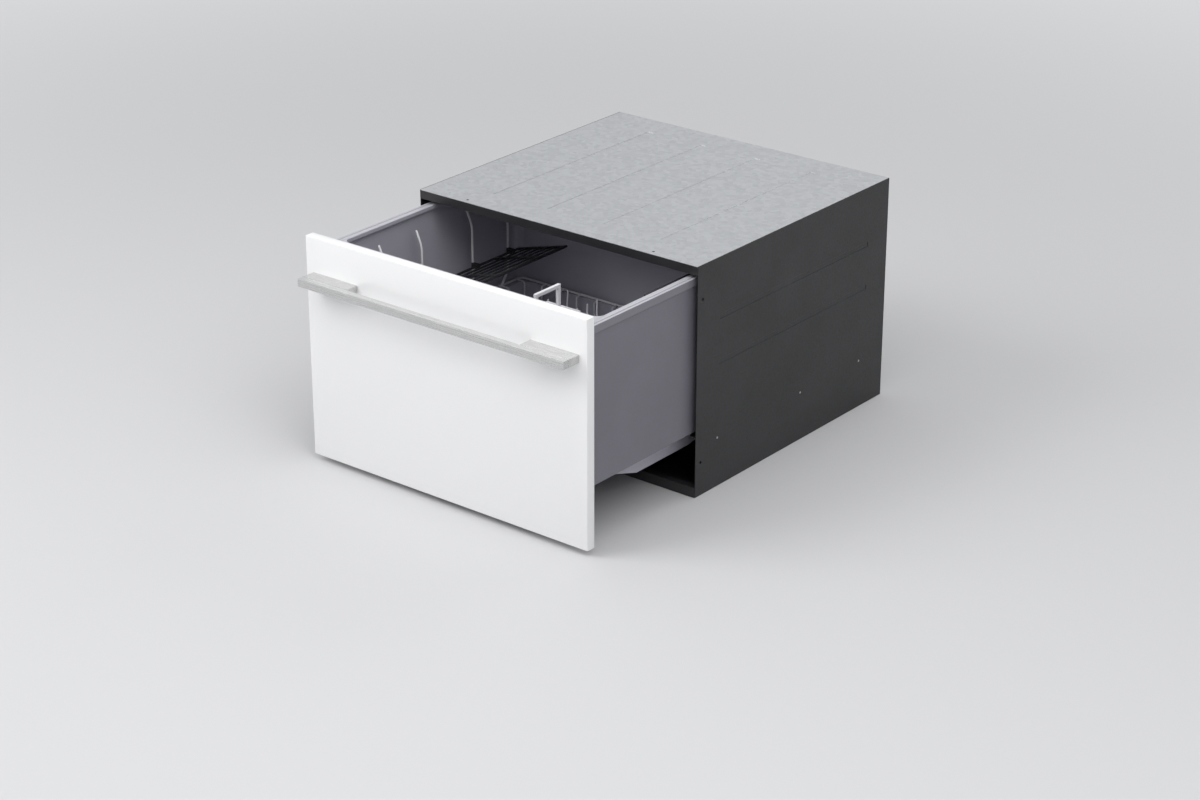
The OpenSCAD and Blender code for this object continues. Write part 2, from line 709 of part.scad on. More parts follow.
box_half = 110;                                  // control box
box_h = 46.5;
plug_l = 18;                                     // plugs on its top
plug_h = 6;
plug_pitch = 30;
module control_box() color("#2c2c2c") in_drawer() {
    top_z = frame_z0 + frame_t + box_h;
    wide_block(box_half, frame_t, front_wall_y - 6, frame_z0 + frame_t, top_z);
    for (x = [-3 * plug_pitch : plug_pitch : 2 * plug_pitch])
        block([x, 4, top_z], [x + plug_l, front_wall_y - 10, top_z + plug_h]);
}

module drying_fan() color("#303236") in_drawer() translate([vent_x, 0, vent_z]) {
    difference() {
        wide_block(44, 6, front_wall_y, -44, 44);
        rod_y(34, 5, 14);
    }
    // Rotor hub and blades in the inlet
    rod_y(10, 8, 14);
    for (a = [0 : 45 : 315])
        rotate([0, a, 0]) block([8, 9, -1], [32, 14, 1]);
    difference() {
        rod_y(vent_r - 0.3, front_wall_y, front_wall_y + tub_wall);
        rod_y(vent_r - 3, front_wall_y - eps, front_wall_y + tub_wall + eps);
    }
}

// ---------- Dispenser ----------
flange_y = front_wall_y + tub_wall;
flange_t = 3;
face_y = flange_y + flange_t;
cup_x0 = -dispenser_w / 2 + 13;
cup_x1 = cup_x0 + cup_w;
cup_z0 = dispenser_z - cup_h / 2;
cup_z1 = dispenser_z + cup_h / 2;
lid_over = 3;
door_t = 4;
hinge_r = 1.5;
barrel_r = 3;
hinge_z = cup_z0 - lid_over - 1;
hinge_y = face_y + seat_gap + barrel_r;
rinse_x = (cup_x1 + lid_over + dispenser_w / 2) / 2;
rinse_r = 15;
ear_t = 3;

module dispenser_body() color("lightgray") in_drawer() {
    difference() {
        union() {
            wide_block(dispenser_w / 2, flange_y, face_y,
                dispenser_z - dispenser_h / 2, dispenser_z + dispenser_h / 2);
            wide_block(dispenser_w / 2 - dispenser_in, front_wall_y - 16, flange_y,
                dispenser_z - dispenser_h / 2 + dispenser_in, dispenser_z + dispenser_h / 2 - dispenser_in);
        }
        block([cup_x0, front_wall_y - 12, cup_z0], [cup_x1, face_y + eps, cup_z1]);
        translate([rinse_x, 0, dispenser_z]) rod_y(rinse_r + run_gap, flange_y - 12, face_y + eps);
    }
    // Ears and the pin that the lid turns on
    for (x = [cup_x0 - lid_over - seat_gap - ear_t, cup_x1 + lid_over + seat_gap])
        block([x, face_y - 0.5, hinge_z - barrel_r], [x + ear_t, hinge_y + hinge_r + 1, hinge_z + barrel_r]);
    translate([cup_x0 - lid_over - seat_gap - 1, hinge_y, hinge_z]) rotate([0, 90, 0])
        cylinder(r = hinge_r, h = cup_w + 2 * (lid_over + seat_gap + 1), $fn = round_fn);
}

module dispenser_lid() color("#3a3d42") in_drawer() difference() {
    union() {
        block([cup_x0 - lid_over, face_y + seat_gap, hinge_z],
            [cup_x1 + lid_over, face_y + seat_gap + door_t, cup_z1 + lid_over]);
        translate([cup_x0 - lid_over, hinge_y, hinge_z]) rotate([0, 90, 0])
            cylinder(r = barrel_r, h = cup_w + 2 * lid_over, $fn = round_fn);
    }
    translate([cup_x0 - lid_over - eps, hinge_y, hinge_z]) rotate([0, 90, 0])
        cylinder(r = hinge_r + run_gap, h = cup_w + 2 * lid_over + 2 * eps, $fn = round_fn);
    // Ribs that show as grooves
    for (z = [cup_z0 + 8 : 8 : cup_z1 - 8])
        block([cup_x0 + 4, face_y + seat_gap + door_t - 0.6, z],
            [cup_x1 - 4, face_y + seat_gap + door_t + eps, z + 2]);
}

latch_w = 22;
latch_h = 7;
latch_rib = 2;                                   // finger rib across the latch
module dispenser_latch() color("lightgray") in_drawer() translate([(cup_x0 + cup_x1) / 2, 0, 0]) {
    z = cup_z1 + lid_over + seat_gap;
    y = face_y + seat_gap;
    wide_block(latch_w / 2, y, y + door_t, z, z + latch_h);
    wide_block(latch_w / 2, y + door_t, y + door_t + latch_rib, z + 2, z + latch_h - 2);
}

module rinse_cap() color("#505860") in_drawer() translate([rinse_x, 0, dispenser_z]) {
    rod_y(rinse_r, flange_y - 10, face_y + 2);
    wide_block(2.5, face_y + 2, face_y + 7, -rinse_r + 2, rinse_r - 2);
}

// ---------- Wash system ----------
pocket_z = sump_z - 12;
plate_t = 3;
plate_x = low_x - 18;
plate_half = low_half - 5;
arm_z = floor_z + arm_lift;
pump_r = 16;
pump_z = pocket_z + pump_r;
pump_l = 58;

module at_sump(x = 0) translate([x, sump_y, 0]) children();

module sump() color("#2f3136") in_drawer() difference() {
    union() {
        at_sump() rod(sump_r + sump_t, sump_z, floor_z - floor_t);
        at_sump(filter_x) rod(pocket_r + sump_t, pocket_z, floor_z - floor_t);
        at_sump() block([0, -18, sump_z], [filter_x, 18, floor_z - floor_t - 2]);
    }
    at_sump() rod(sump_r, sump_z + sump_t, floor_z);
    at_sump(filter_x) rod(pocket_r, pocket_z + sump_t, floor_z);
    at_sump() block([0, -18 + sump_t, sump_z + sump_t], [filter_x, 18 - sump_t, floor_z - floor_t - 4]);
    at_sump() rod(shaft_d / 2 + 1, sump_z - eps, sump_z + sump_t + eps);
}

module wash_motor() color("#8a8f94") in_drawer() at_sump() difference() {
    union() {
        rod(motor_r, motor_z, sump_z - 3);
        rod(motor_r - 8, sump_z - 3, sump_z);
    }
    rod(shaft_d / 2 + run_gap, motor_z + 4, sump_z + eps);
    for (a = [0 : 30 : 330])
        rotate(a) translate([motor_r - 12, 0, 0]) rod(3, motor_z - eps, motor_z + 3);
}

module impeller() color("#4a5568") in_drawer() at_sump() {
    disc_z = sump_z + sump_t + 2;
    rod(shaft_d / 2, motor_z + 6, disc_z + 1);
    rod(sump_r - 8, disc_z, disc_z + 2.5);
    rod(11, disc_z, disc_z + 15);
    for (a = [0 : 60 : 300])
        rotate(a) block([9, -1.2, disc_z + 2], [sump_r - 12, 1.2, disc_z + 13]);
}

module drain_pump() color("#2c2c2c") in_drawer() translate([filter_x, sump_y, pump_z]) {
    start = sqrt(pow(pocket_r + sump_t, 2) - pow(pump_r, 2));
    difference() {
        rod_y(pump_r, start, start + pump_l);
        translate([0, -sump_y, -pump_z]) at_sump()
            rod(pocket_r + sump_t, pocket_z - eps, floor_z);
    }
    rod_y(pump_r - 5, start + pump_l, start + pump_l + 8);
}

module heater() color("silver") in_drawer() difference() {
    at_sump() rod(sump_r + 22, floor_z - floor_t - 6, floor_z - floor_t);
    at_sump() rod(sump_r + sump_t + 3, floor_z - 3 * floor_t, floor_z);
    at_sump(filter_x) rod(pocket_r + sump_t + 2, floor_z - 3 * floor_t, floor_z);
    at_sump() block([0, -20, floor_z - 3 * floor_t], [filter_x, 20, floor_z]);
}

slot_w = 3;
slot_pitch = 10;
module filter_plate() color("#5b6068") in_drawer() at_sump() difference() {
    union() {
        wide_block(plate_x, -plate_half, plate_half, floor_z, floor_z + plate_t);
        rod(20, floor_z, floor_z + 12);
        rod(13, floor_z, arm_z - 1);
        rod(arm_pin_d / 2, floor_z, arm_z + arm_t + 2);
    }
    rod(arm_pin_d / 4, floor_z - eps, arm_z + arm_t + 3);
    translate([filter_x, 0, 0]) rod(filter_r + 1, floor_z - eps, floor_z + plate_t + eps);
    for (side = [-1, 1], y = [-plate_half + 8, 6])
        for (x = [side > 0 ? filter_x + 50 : sump_r + 18 : slot_pitch : plate_x - 10])
            translate([side * x, 0, 0])
                wide_block(slot_w / 2, y, y + plate_half - 14, floor_z - eps, floor_z + plate_t + eps);
}

module spray_arm() color("#6b7178") in_drawer() at_sump() difference() {
    union() {
        rod(26, arm_z, arm_z + arm_t);
        for (a = [0, 180])
            rotate(a) translate([0, 0, arm_z + 1]) linear_extrude(arm_t - 2) {
                polygon([[0, -arm_w / 2], [arm_l - 14, -14], [arm_l - 14, 14], [0, arm_w / 2]]);
                translate([arm_l - 14, 0]) circle(r = 14, $fn = round_fn);
            }
    }
    rod(arm_pin_d / 2 + run_gap, arm_z - eps, arm_z + arm_t + eps);
    // Jets along each blade
    for (a = [0, 180], k = [1 : 6])
        rotate(a) translate([k * (arm_l - 20) / 6, (k % 2 == 0 ? 1 : -1) * 4, 0])
            rod(1.8, arm_z + arm_t - 5, arm_z + arm_t + eps);
}

module drain_filter() color("#6b7178") in_drawer() at_sump(filter_x) {
    cup_z = pocket_z + sump_t + 2;
    top_z = floor_z + plate_t + seat_gap;
    difference() {
        union() {
            rod(filter_r, cup_z, top_z);
            rod(filter_r + 6, top_z, top_z + 3);
        }
        rod(filter_r - 2, cup_z + 2, top_z + 4);
        for (a = [0 : 30 : 330])
            rotate(a) block([filter_r - 5, -2, cup_z + 6], [filter_r + 2, 2, top_z - 6]);
    }
    // Grip across the mouth
    wide_block(filter_r, -2, 2, top_z - 1, top_z + 10);
}

hose_r = 11;
module link_hose() color("#26282b") in_drawer() translate([filter_x, 0, pump_z]) difference() {
    start = sump_y + sqrt(pow(pocket_r + sump_t, 2) - pow(pump_r, 2)) + pump_l + 8;
    stop = chassis_d - 40 + drawer_shift;
    rod_y(hose_r, start, stop);
    rod_y(hose_r - 3, start - eps, stop + eps);
}

// ---------- Racks ----------
rail_z = shoulder_z + frame_wire / 2;            // frame wire on the shoulder
rack_z = shoulder_z - rack_deep;                 // long wires of the rack floor
cross_z = rack_z + grid_wire - 0.4;              // cross wires, welded on top
rail_x = basin_x + shoulder_w / 2 - 1;
rail_y0 = front_wall_y + tub_wall + shoulder_end_w / 2;
rail_y1 = tub_back_y - tub_wall - shoulder_end_w / 2;
rack_x = basin_x - 8;
rack_y0 = basin_y0 + 9;
rack_y1 = basin_y1 - 9;
rack_in_x = 8;
side_wire_ys = [120, 214, 345, 440];             // tall wires along the side wall
side_wire_x = basin_x - 6;
hinge_x = basin_x - 16;                          // hinge of a cup rack
cup_hinge_z = shoulder_z + cup_hinge_h;
hinge_rod_r = 2.2;
tine_rod_r = 2;
tine_hinge_z = cross_z + grid_wire / 2 + tine_rod_r + 1.2;
eye_t = 5;
cross_n = 10;
long_n = 6;
cross_ys = [for (k = [0 : cross_n]) rack_y0 + (rack_y1 - rack_y0) * k / cross_n];
long_xs = [for (k = [0 : long_n]) rack_in_x + (rack_x - rack_in_x) * k / long_n];

// Each flat group of wires is a solid of its own. Where a real rack has a weld between two
// groups, they stand weld_gap apart.
weld_gap = 0.1;
upright_z = rack_z + frame_wire / 2 + weld_gap;  // foot of the uprights, on the lower frame wire
on_cross_z = cross_z + grid_wire / 2 + weld_gap; // foot of what stands on the cross wires
inner_rail_x = rack_in_x - 2;
rail_over = frame_wire / 2;
joint_over = 1;                                  // how far fused wires run past each other's middle

// The floor of one base rack; row_x is a long wire that carries tines
module rack_floor(row_x, row_y0) {
    for (x = [rack_in_x, rack_x])
        wire([x, rack_y0 - joint_over, rack_z], [x, rack_y1 + joint_over, rack_z], frame_wire);
    for (y = [rack_y0, rack_y1]) wire([rack_in_x, y, rack_z], [rack_x, y, rack_z], frame_wire);
    for (k = [1 : long_n - 1])
        wire([long_xs[k], rack_y0, rack_z], [long_xs[k], rack_y1, rack_z], grid_wire);
    reach = grid_wire / 2 + weld_gap;
    for (k = [1 : cross_n - 1])
        wire([rack_in_x + reach, cross_ys[k], cross_z], [rack_x - reach, cross_ys[k], cross_z], grid_wire);
    wire([row_x, row_y0 - 8, cross_z], [row_x, cross_ys[cross_n - 1] + 8, cross_z], grid_wire);
}

// The four sides: uprights that bend out to a rail on the tub's shoulder
module rack_sides() {
    for (y = cross_ys) {
        wire([rack_x, y, upright_z], [rack_x, y, rail_z + joint_over], grid_wire);
        wire([rack_x, y, rail_z], [rail_x, y, rail_z], grid_wire);
        wire([rack_in_x, y, upright_z + 0.2], [inner_rail_x, y, rail_z], grid_wire);
    }
    for (x = [inner_rail_x, rail_x])
        wire([x, rail_y0 - rail_over, rail_z], [x, rail_y1 + rail_over, rail_z], frame_wire);
    for (end = [[rack_y0, rail_y0], [rack_y1, rail_y1]]) {
        for (k = [1 : long_n - 1]) {
            x = long_xs[k];
            wire([x, end[0], upright_z], [x, end[0], rail_z + joint_over], grid_wire);
            wire([x, end[0], rail_z], [x, end[1], rail_z], grid_wire);
        }
        wire([inner_rail_x + rail_over + weld_gap, end[1], rail_z],
            [rail_x - rail_over - weld_gap, end[1], rail_z], frame_wire);
    }
}

// Tall wires up the side wall, which lean out at the top, and the eyes of the cup rack hinge
module side_wires(ys) for (y = ys) {
    foot = [rail_x, y, rail_z + rail_over + weld_gap];
    bend = foot + [0, 0, 4];
    knee = [side_wire_x, y, rail_z + 34];
    neck = [side_wire_x, y, rim_z - 55];
    top = [side_wire_x + 12, y, rim_z - 28];
    wire(foot, bend + [0, 0, 0.4], frame_wire);
    wire(bend, knee, frame_wire);
    wire(knee - [0, 0, 0.6], neck + [0, 0, 0.6], frame_wire);
    wire(neck, top, frame_wire);
    difference() {
        block([hinge_x - 5, y - eye_t / 2, cup_hinge_z - 5], [side_wire_x, y + eye_t / 2, cup_hinge_z + 5]);
        translate([hinge_x, 0, cup_hinge_z]) rod_y(hinge_rod_r + run_gap, y - eye_t, y + eye_t);
    }
}

// Upright tines in a row along Y, on the row wire
module tines(x, tines_y)
    for (y = [tines_y[0] : tine_pitch : tines_y[1]])
        wire([x, y, on_cross_z], [x, y, on_cross_z + tine_h], grid_wire);

// Eyes that hold a hinged tine row, on cross wires
module tine_eyes(x, ys) for (y = ys)
    difference() {
        block([x - 5, y - eye_t / 2, on_cross_z], [x + 5, y + eye_t / 2, tine_hinge_z + 4.5]);
        translate([x, 0, tine_hinge_z]) rod_y(tine_rod_r + run_gap, y - eye_t, y + eye_t);
    }

left_hinge_x = -110;
left_row_x = -40;
right_hinge_x = 178;
right_row_x = 92;
left_eye_ys = [cross_ys[2], cross_ys[5], cross_ys[8]];
right_eye_ys = [cross_ys[3], cross_ys[6], cross_ys[8]];
left_tines_y = [cross_ys[1] + 8, cross_ys[9]];
right_tines_y = [cross_ys[2] + 12, cross_ys[9]];
tine_lean = 4;

module rack_left() color("whitesmoke") in_drawer() {
    other_side() {
        rack_floor(-left_row_x, left_tines_y[0]);
        rack_sides();
        side_wires(side_wire_ys);
    }
    tines(left_row_x, left_tines_y);
    tine_eyes(left_hinge_x, left_eye_ys);
}

module rack_right() color("whitesmoke") in_drawer() {
    rack_floor(right_row_x, right_tines_y[0]);
    rack_sides();
    side_wires([side_wire_ys[1], side_wire_ys[2], side_wire_ys[3]]);
    tines(right_row_x, right_tines_y);
    tine_eyes(right_hinge_x, right_eye_ys);
}

// A row of tines on a rod; the tines keep clear of the eyes
module tine_row(x, tines_y, eye_ys) translate([x, 0, tine_hinge_z]) {
    rod_y(tine_rod_r, tines_y[0] - 6, tines_y[1] + 8);
    foot = tine_rod_r + 2 * weld_gap;
    reach = [sin(tine_lean), 0, cos(tine_lean)];
    for (y = [tines_y[0] : tine_pitch : tines_y[1]])
        if (min([for (e = eye_ys) abs(y - e)]) > eye_t)
            wire([0, y, 0] + foot * reach, [0, y, 0] + (tine_h - 4) * reach, grid_wire);
}
module tine_row_left() color("whitesmoke") in_drawer() tine_row(left_hinge_x, left_tines_y, left_eye_ys);
module tine_row_right() color("whitesmoke") in_drawer() tine_row(right_hinge_x, right_tines_y, right_eye_ys);

// A cup rack, hinge at the origin, reaching along +X, between y0 and y1
cup_slat_t = 2.6;
cup_edge = 8;
module cup_rack(y0, y1, arm_ys) {
    rod_y(hinge_rod_r, y0, y1);
    for (y = arm_ys)
        block([0, y - 3, -2], [cup_rack_w, y + 3, 2]);
    for (x = [18 : 17 : cup_rack_w - cup_edge - 8])
        block([x, y0 + 1, -cup_slat_t / 2], [x + 5, y1 - 1, cup_slat_t / 2]);
    block([cup_rack_w - cup_edge, y0 + 1, -2], [cup_rack_w, y1 - 1, 2]);
}

arm_out = 16;                                    // outer arms, outside the last side wires
cup_mid_ys = [for (k = [0 : 2]) (side_wire_ys[k] + side_wire_ys[k + 1]) / 2];
cup_left_arms = concat(side_wire_ys[0] - arm_out, cup_mid_ys, side_wire_ys[3] + arm_out);
cup_right_arms = [side_wire_ys[1] - arm_out, cup_mid_ys[1], cup_mid_ys[2], side_wire_ys[3] + arm_out];
up_lean = 92.5;                                  // a raised cup rack leans back past upright

module cup_rack_left() color("#3b3e44") in_drawer()
    translate([-hinge_x, 0, cup_hinge_z]) rotate([0, -cup_rack_tilt, 0])
        cup_rack(cup_left_arms[0] - 6, cup_left_arms[4] + 6, cup_left_arms);

module cup_rack_right() color("#3b3e44") in_drawer()
    translate([hinge_x, 0, cup_hinge_z]) rotate([0, up_lean, 0]) rotate([0, 0, 180])
        mirror([0, 1, 0]) cup_rack(cup_right_arms[0] - 6, cup_right_arms[3] + 6, cup_right_arms);

// ---------- Cutlery basket ----------
basket_x = 123;
basket_y0 = rack_y0 + grid_wire / 2 + 2 * seat_gap;
basket_z = cross_z + grid_wire / 2 + seat_gap;
basket_h = rim_z - basket_top_drop - basket_grip_h - basket_z;
basket_slot_h = 52;
basket_slot_w = 8;
basket_slot_gap = 6;                             // bar between two slots
basket_end = 8;                                  // solid strip at each corner
grip_t = 6;
grip_half = 31;                                  // half length of the grip, along the basket
grip_root = 12;                                  // how far the grip reaches down the middle wall

// Slots through a panel that lies in XZ, from x0 to x1
module panel_slots(x0, x1) {
    pitch = basket_slot_w + basket_slot_gap;
    for (x = [x0 : pitch : x1 - basket_slot_w])
        for (z = [basket_end : basket_slot_h + basket_slot_gap : basket_h - basket_slot_h - basket_end])
            block([x, -eps, z], [x + basket_slot_w, basket_t + eps, z + basket_slot_h]);
}

// The basket is clipped together from flat panels, weld_gap apart, as the racks' groups are
module basket_panels() {
    half = basket_w / 2;
    in_x = half - basket_t - weld_gap;
    in_y = basket_t + weld_gap;
    for (x = [-half + basket_t, half])
        translate([x, 0, 0]) rotate([0, 0, 90]) difference() {
            block([0, 0, 0], [basket_l, basket_t, basket_h]);
            panel_slots(basket_end, basket_l - basket_end);
        }
    for (y = [0, basket_l - basket_t])
        translate([0, y, 0]) difference() {
            block([-in_x, 0, 0], [in_x, basket_t, basket_h]);
            panel_slots(-half + basket_end, half - basket_end);
        }
    difference() {
        block([-in_x, in_y, 0], [in_x, basket_l - in_y, basket_t]);
        for (x = [-half + basket_end, basket_end],
                y = [basket_end : basket_slot_w + basket_slot_gap : basket_l - basket_end - basket_slot_w])
            block([x, y, -eps], [x + half - 2 * basket_end, y + basket_slot_w, basket_t + eps]);
    }
}

// The middle wall parts the basket in two and carries the handle
module basket_middle() {
    middle = basket_l / 2;
    in_y = basket_t + weld_gap;
    block([-basket_t / 2, in_y, in_y], [basket_t / 2, basket_l - in_y, basket_h]);
    for (y = [middle - grip_half, middle + grip_half - grip_t])
        block([-grip_t / 2, y, basket_h - grip_root], [grip_t / 2, y + grip_t, basket_h + basket_grip_h]);
    block([-grip_t / 2, middle - grip_half, basket_h + basket_grip_h - grip_t],
        [grip_t / 2, middle + grip_half, basket_h + basket_grip_h]);
}

module cutlery_basket() color("gainsboro") in_drawer() translate([basket_x, basket_y0, basket_z]) {
    basket_panels();
    basket_middle();
}

// ---------- Pieces ----------
base_pan();
side_panel_left();
side_panel_right();
back_panel();
top_panel();
front_sill();
front_crossbar();
runner_bracket_left();
runner_bracket_right();
runner_fixed_left();
runner_fixed_right();
chassis_screws();
lid_guide_pins();
lid_actuators();
inlet_valve();
drain_spigot();
power_gland();
flood_sensor();
lid();
lid_seal();
lid_lifters();
runner_mid_left();
runner_mid_right();
tub();
door_frame();
front_panel();
panel_brackets();
handle_bar();
handle_posts();
handle_screws();
runner_drawer_left();
runner_drawer_right();
sump();
wash_motor();
drain_pump();
heater();
filter_plate();
dispenser_body();
control_strip();
control_box();
drying_fan();
rack_left();
rack_right();
link_hose();
spray_arm();
impeller();
drain_filter();
dispenser_lid();
dispenser_latch();
rinse_cap();
power_button();
program_button();
start_button();
cup_rack_left();
cup_rack_right();
tine_row_left();
tine_row_right();
cutlery_basket();
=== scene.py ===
# %% [markdown]
# # A dishwasher drawer, dressed in Blender
# The drawer's solids are already made and packed, so this file adds what they lack: the finish of
# every surface, round wires in place of square ones, softened edges, light and a camera. The solids
# are loaded first and never moved, so all that follows is measured from them.

# %% Load the solids
import json
import math

import bpy
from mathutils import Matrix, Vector


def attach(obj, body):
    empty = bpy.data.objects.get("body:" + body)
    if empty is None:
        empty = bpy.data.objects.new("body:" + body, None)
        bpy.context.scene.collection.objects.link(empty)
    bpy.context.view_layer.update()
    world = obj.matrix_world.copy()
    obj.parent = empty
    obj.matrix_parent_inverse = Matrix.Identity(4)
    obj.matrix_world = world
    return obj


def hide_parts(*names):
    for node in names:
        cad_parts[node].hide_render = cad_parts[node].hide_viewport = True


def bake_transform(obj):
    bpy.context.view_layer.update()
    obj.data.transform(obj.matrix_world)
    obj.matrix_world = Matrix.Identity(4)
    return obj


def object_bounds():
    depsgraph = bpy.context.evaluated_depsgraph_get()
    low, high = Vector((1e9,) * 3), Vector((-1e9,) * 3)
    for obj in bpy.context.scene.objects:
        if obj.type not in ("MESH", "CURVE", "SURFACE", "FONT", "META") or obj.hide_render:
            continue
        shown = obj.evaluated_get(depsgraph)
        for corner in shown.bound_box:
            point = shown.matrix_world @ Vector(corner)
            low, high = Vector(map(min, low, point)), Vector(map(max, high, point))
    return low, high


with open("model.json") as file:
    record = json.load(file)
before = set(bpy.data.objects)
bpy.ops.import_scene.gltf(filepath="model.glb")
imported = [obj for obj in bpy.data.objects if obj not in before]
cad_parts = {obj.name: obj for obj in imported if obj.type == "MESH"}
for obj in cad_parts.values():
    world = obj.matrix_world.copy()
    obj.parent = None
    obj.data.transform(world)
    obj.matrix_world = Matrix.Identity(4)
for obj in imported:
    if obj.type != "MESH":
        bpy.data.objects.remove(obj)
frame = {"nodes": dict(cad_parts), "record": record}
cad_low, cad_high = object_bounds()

node = frame["nodes"]
print("pieces loaded:", len(node))
print("size in mm:", [round((b - a) * 1000) for a, b in zip(cad_low, cad_high)])

# %% [markdown]
# Some places are needed again and again: where the drawer starts, and how high its rim and its
# racks are. They are the same numbers that the solids were made from, in millimetres. A place
# inside the drawer is counted from the back of the door front, because the whole drawer slides.

# %% Places inside the drawer
MM = 0.001
DRAWER_Y = -542.5      # the back of the door front
CHASSIS_Y = -277.5     # the front edge of the chassis
RIM_Z = 386
RIM_BAND_H = 14
INNER_WALL_X = 281
SHOULDER_Z = 184
RACK_Z = 144
GRID_WIRE = 3
FRAME_WIRE = 4
CROSS_Z = RACK_Z + GRID_WIRE - 0.4
RAIL_Z = SHOULDER_Z + FRAME_WIRE / 2


def drawer_point(x, y, z):
    """A place in metres, from millimetres counted from the back of the door front."""
    return Vector((x * MM, (y + DRAWER_Y) * MM, z * MM))


print("rim height:", RIM_Z, "mm; rack floor:", RACK_Z, "mm")

# %% [markdown]
# The camera comes first, so that every later choice is judged from the same place. The photograph
# was taken from the right and from above, with a long lens, from about four and a half metres away.
# Its place was worked out from the corners of the door front, whose real size is known.

# %% Camera
bpy.ops.object.camera_add(location=(2.797, -3.653, 2.018),
                          rotation=(math.radians(66.32), 0, math.radians(38.65)))
camera = bpy.context.object
camera.name = "camera"
camera.data.lens = 84.2
camera.data.sensor_width = 36
bpy.context.scene.camera = camera
print("camera lens:", camera.data.lens, "mm")

# %% [markdown]
# A studio is a few large soft lamps and a pale sweep of floor. Large lamps give the soft edge of
# shadow that the photograph shows, and the metal gets wide, calm reflections. The strongest one
# is high on the left, so the door front is bright and the drawer's right side falls into shade.

# %% Studio light


def soft_lamp(name, place, target, size, power):
    """A large square lamp that points at a target."""
    bpy.ops.object.light_add(type="AREA", location=place)
    lamp = bpy.context.object
    lamp.name = name
    lamp.data.shape = "SQUARE"
    lamp.data.size = size
    lamp.data.energy = power
    lamp.rotation_euler = (Vector(target) - Vector(place)).to_track_quat("-Z", "Y").to_euler()


soft_lamp("lamp_key", (-2.2, -3.2, 3.2), (0, -0.3, 0.2), 2.6, 103)
soft_lamp("lamp_top", (0.7, -1.5, 3.4), (0, -0.4, 0.2), 2.6, 36)
soft_lamp("lamp_fill", (2.6, -1.6, 3.0), (0, -0.4, 0.2), 2.0, 36)
soft_lamp("lamp_back", (0.6, 3.4, 2.6), (0, 0, 0.2), 2.6, 26)

# %% [markdown]
# The world is a soft grey-white light from all sides. The camera sees it as a pale grey, and so
# does metal, which would look black without something pale to reflect. A studio also hangs a dark
# cloth on one side, so that polished edges are drawn by a dark line: what metal sees grows darker
# to the right.

# %% World
PALE = (0.93, 0.94, 0.96, 1)
PALE_SEEN = 0.84       # how bright the camera sees the background
PALE_CAST = 0.48       # how much light the background casts
world = bpy.data.worlds.new("pale_room")
bpy.context.scene.world = world
world.use_nodes = True
world_tree = world.node_tree
sky = world_tree.nodes["Background"]
sky.inputs["Color"].default_value = PALE
paths = world_tree.nodes.new("ShaderNodeLightPath")
toward = world_tree.nodes.new("ShaderNodeSeparateXYZ")
cloth = world_tree.nodes.new("ShaderNodeMapRange")
for socket, number in zip(("From Min", "From Max", "To Min", "To Max"), (0.1, 0.8, 0.9, 0.3)):
    cloth.inputs[socket].default_value = number
generated = world_tree.nodes.new("ShaderNodeTexCoord").outputs["Generated"]
world_tree.links.new(generated, toward.inputs["Vector"])
world_tree.links.new(toward.outputs["X"], cloth.inputs["Value"])
seen_by_metal = world_tree.nodes.new("ShaderNodeMix")
seen_by_metal.inputs[2].default_value = PALE_CAST
world_tree.links.new(paths.outputs["Is Glossy Ray"], seen_by_metal.inputs[0])
world_tree.links.new(cloth.outputs["Result"], seen_by_metal.inputs[3])
seen_by_camera = world_tree.nodes.new("ShaderNodeMix")
seen_by_camera.inputs[3].default_value = PALE_SEEN
world_tree.links.new(paths.outputs["Is Camera Ray"], seen_by_camera.inputs[0])
world_tree.links.new(seen_by_metal.outputs[0], seen_by_camera.inputs[2])
world_tree.links.new(seen_by_camera.outputs[0], sky.inputs["Strength"])
bpy.context.scene.view_settings.view_transform = "Standard"
print("world:", world.name)

# %% [markdown]
# ## Finishes
# Real surfaces are never one flat colour. A moulded wall has a fine grain, lacquer has a faint
# ripple, and steel has fine lines. One function makes the base of all of them: a slow noise that
# moves the colour a little, a faster one that moves the roughness, and a fine one that gives bump.
# The patterns read Object coordinates, so they keep their size and stay on the piece.

# %% A helper that makes a finish


def link(tree, out_socket, in_socket):
    tree.links.new(out_socket, in_socket)


def noise(tree, coords, scale, detail=3.0, stretch=(1, 1, 1)):
    """A noise pattern; a stretch below 1 draws it out along that axis."""
    mapping = tree.nodes.new("ShaderNodeMapping")
    mapping.inputs["Scale"].default_value = stretch
    link(tree, coords, mapping.inputs["Vector"])
    pattern = tree.nodes.new("ShaderNodeTexNoise")
    pattern.inputs["Scale"].default_value = scale
    pattern.inputs["Detail"].default_value = detail
    link(tree, mapping.outputs["Vector"], pattern.inputs["Vector"])
    return pattern.outputs["Fac"]


def between(tree, value, low, high):
    """Carries a noise value, which lies mostly between 0.3 and 0.7, to a range."""
    fit = tree.nodes.new("ShaderNodeMapRange")
    for socket, number in zip(("From Min", "From Max", "To Min", "To Max"), (0.3, 0.7, low, high)):
        fit.inputs[socket].default_value = number
    link(tree, value, fit.inputs["Value"])
    return fit.outputs["Result"]


def mix_colour(tree, factor, first, second):
    """Two colours, mixed by a pattern. Either may be a socket."""
    mixer = tree.nodes.new("ShaderNodeMix")
    mixer.data_type = "RGBA"
    link(tree, factor, mixer.inputs[0])
    for socket, colour in ((mixer.inputs[6], first), (mixer.inputs[7], second)):
        if isinstance(colour, tuple):
            socket.default_value = (*colour, 1)
        else:
            link(tree, colour, socket)
    return mixer.outputs[2]


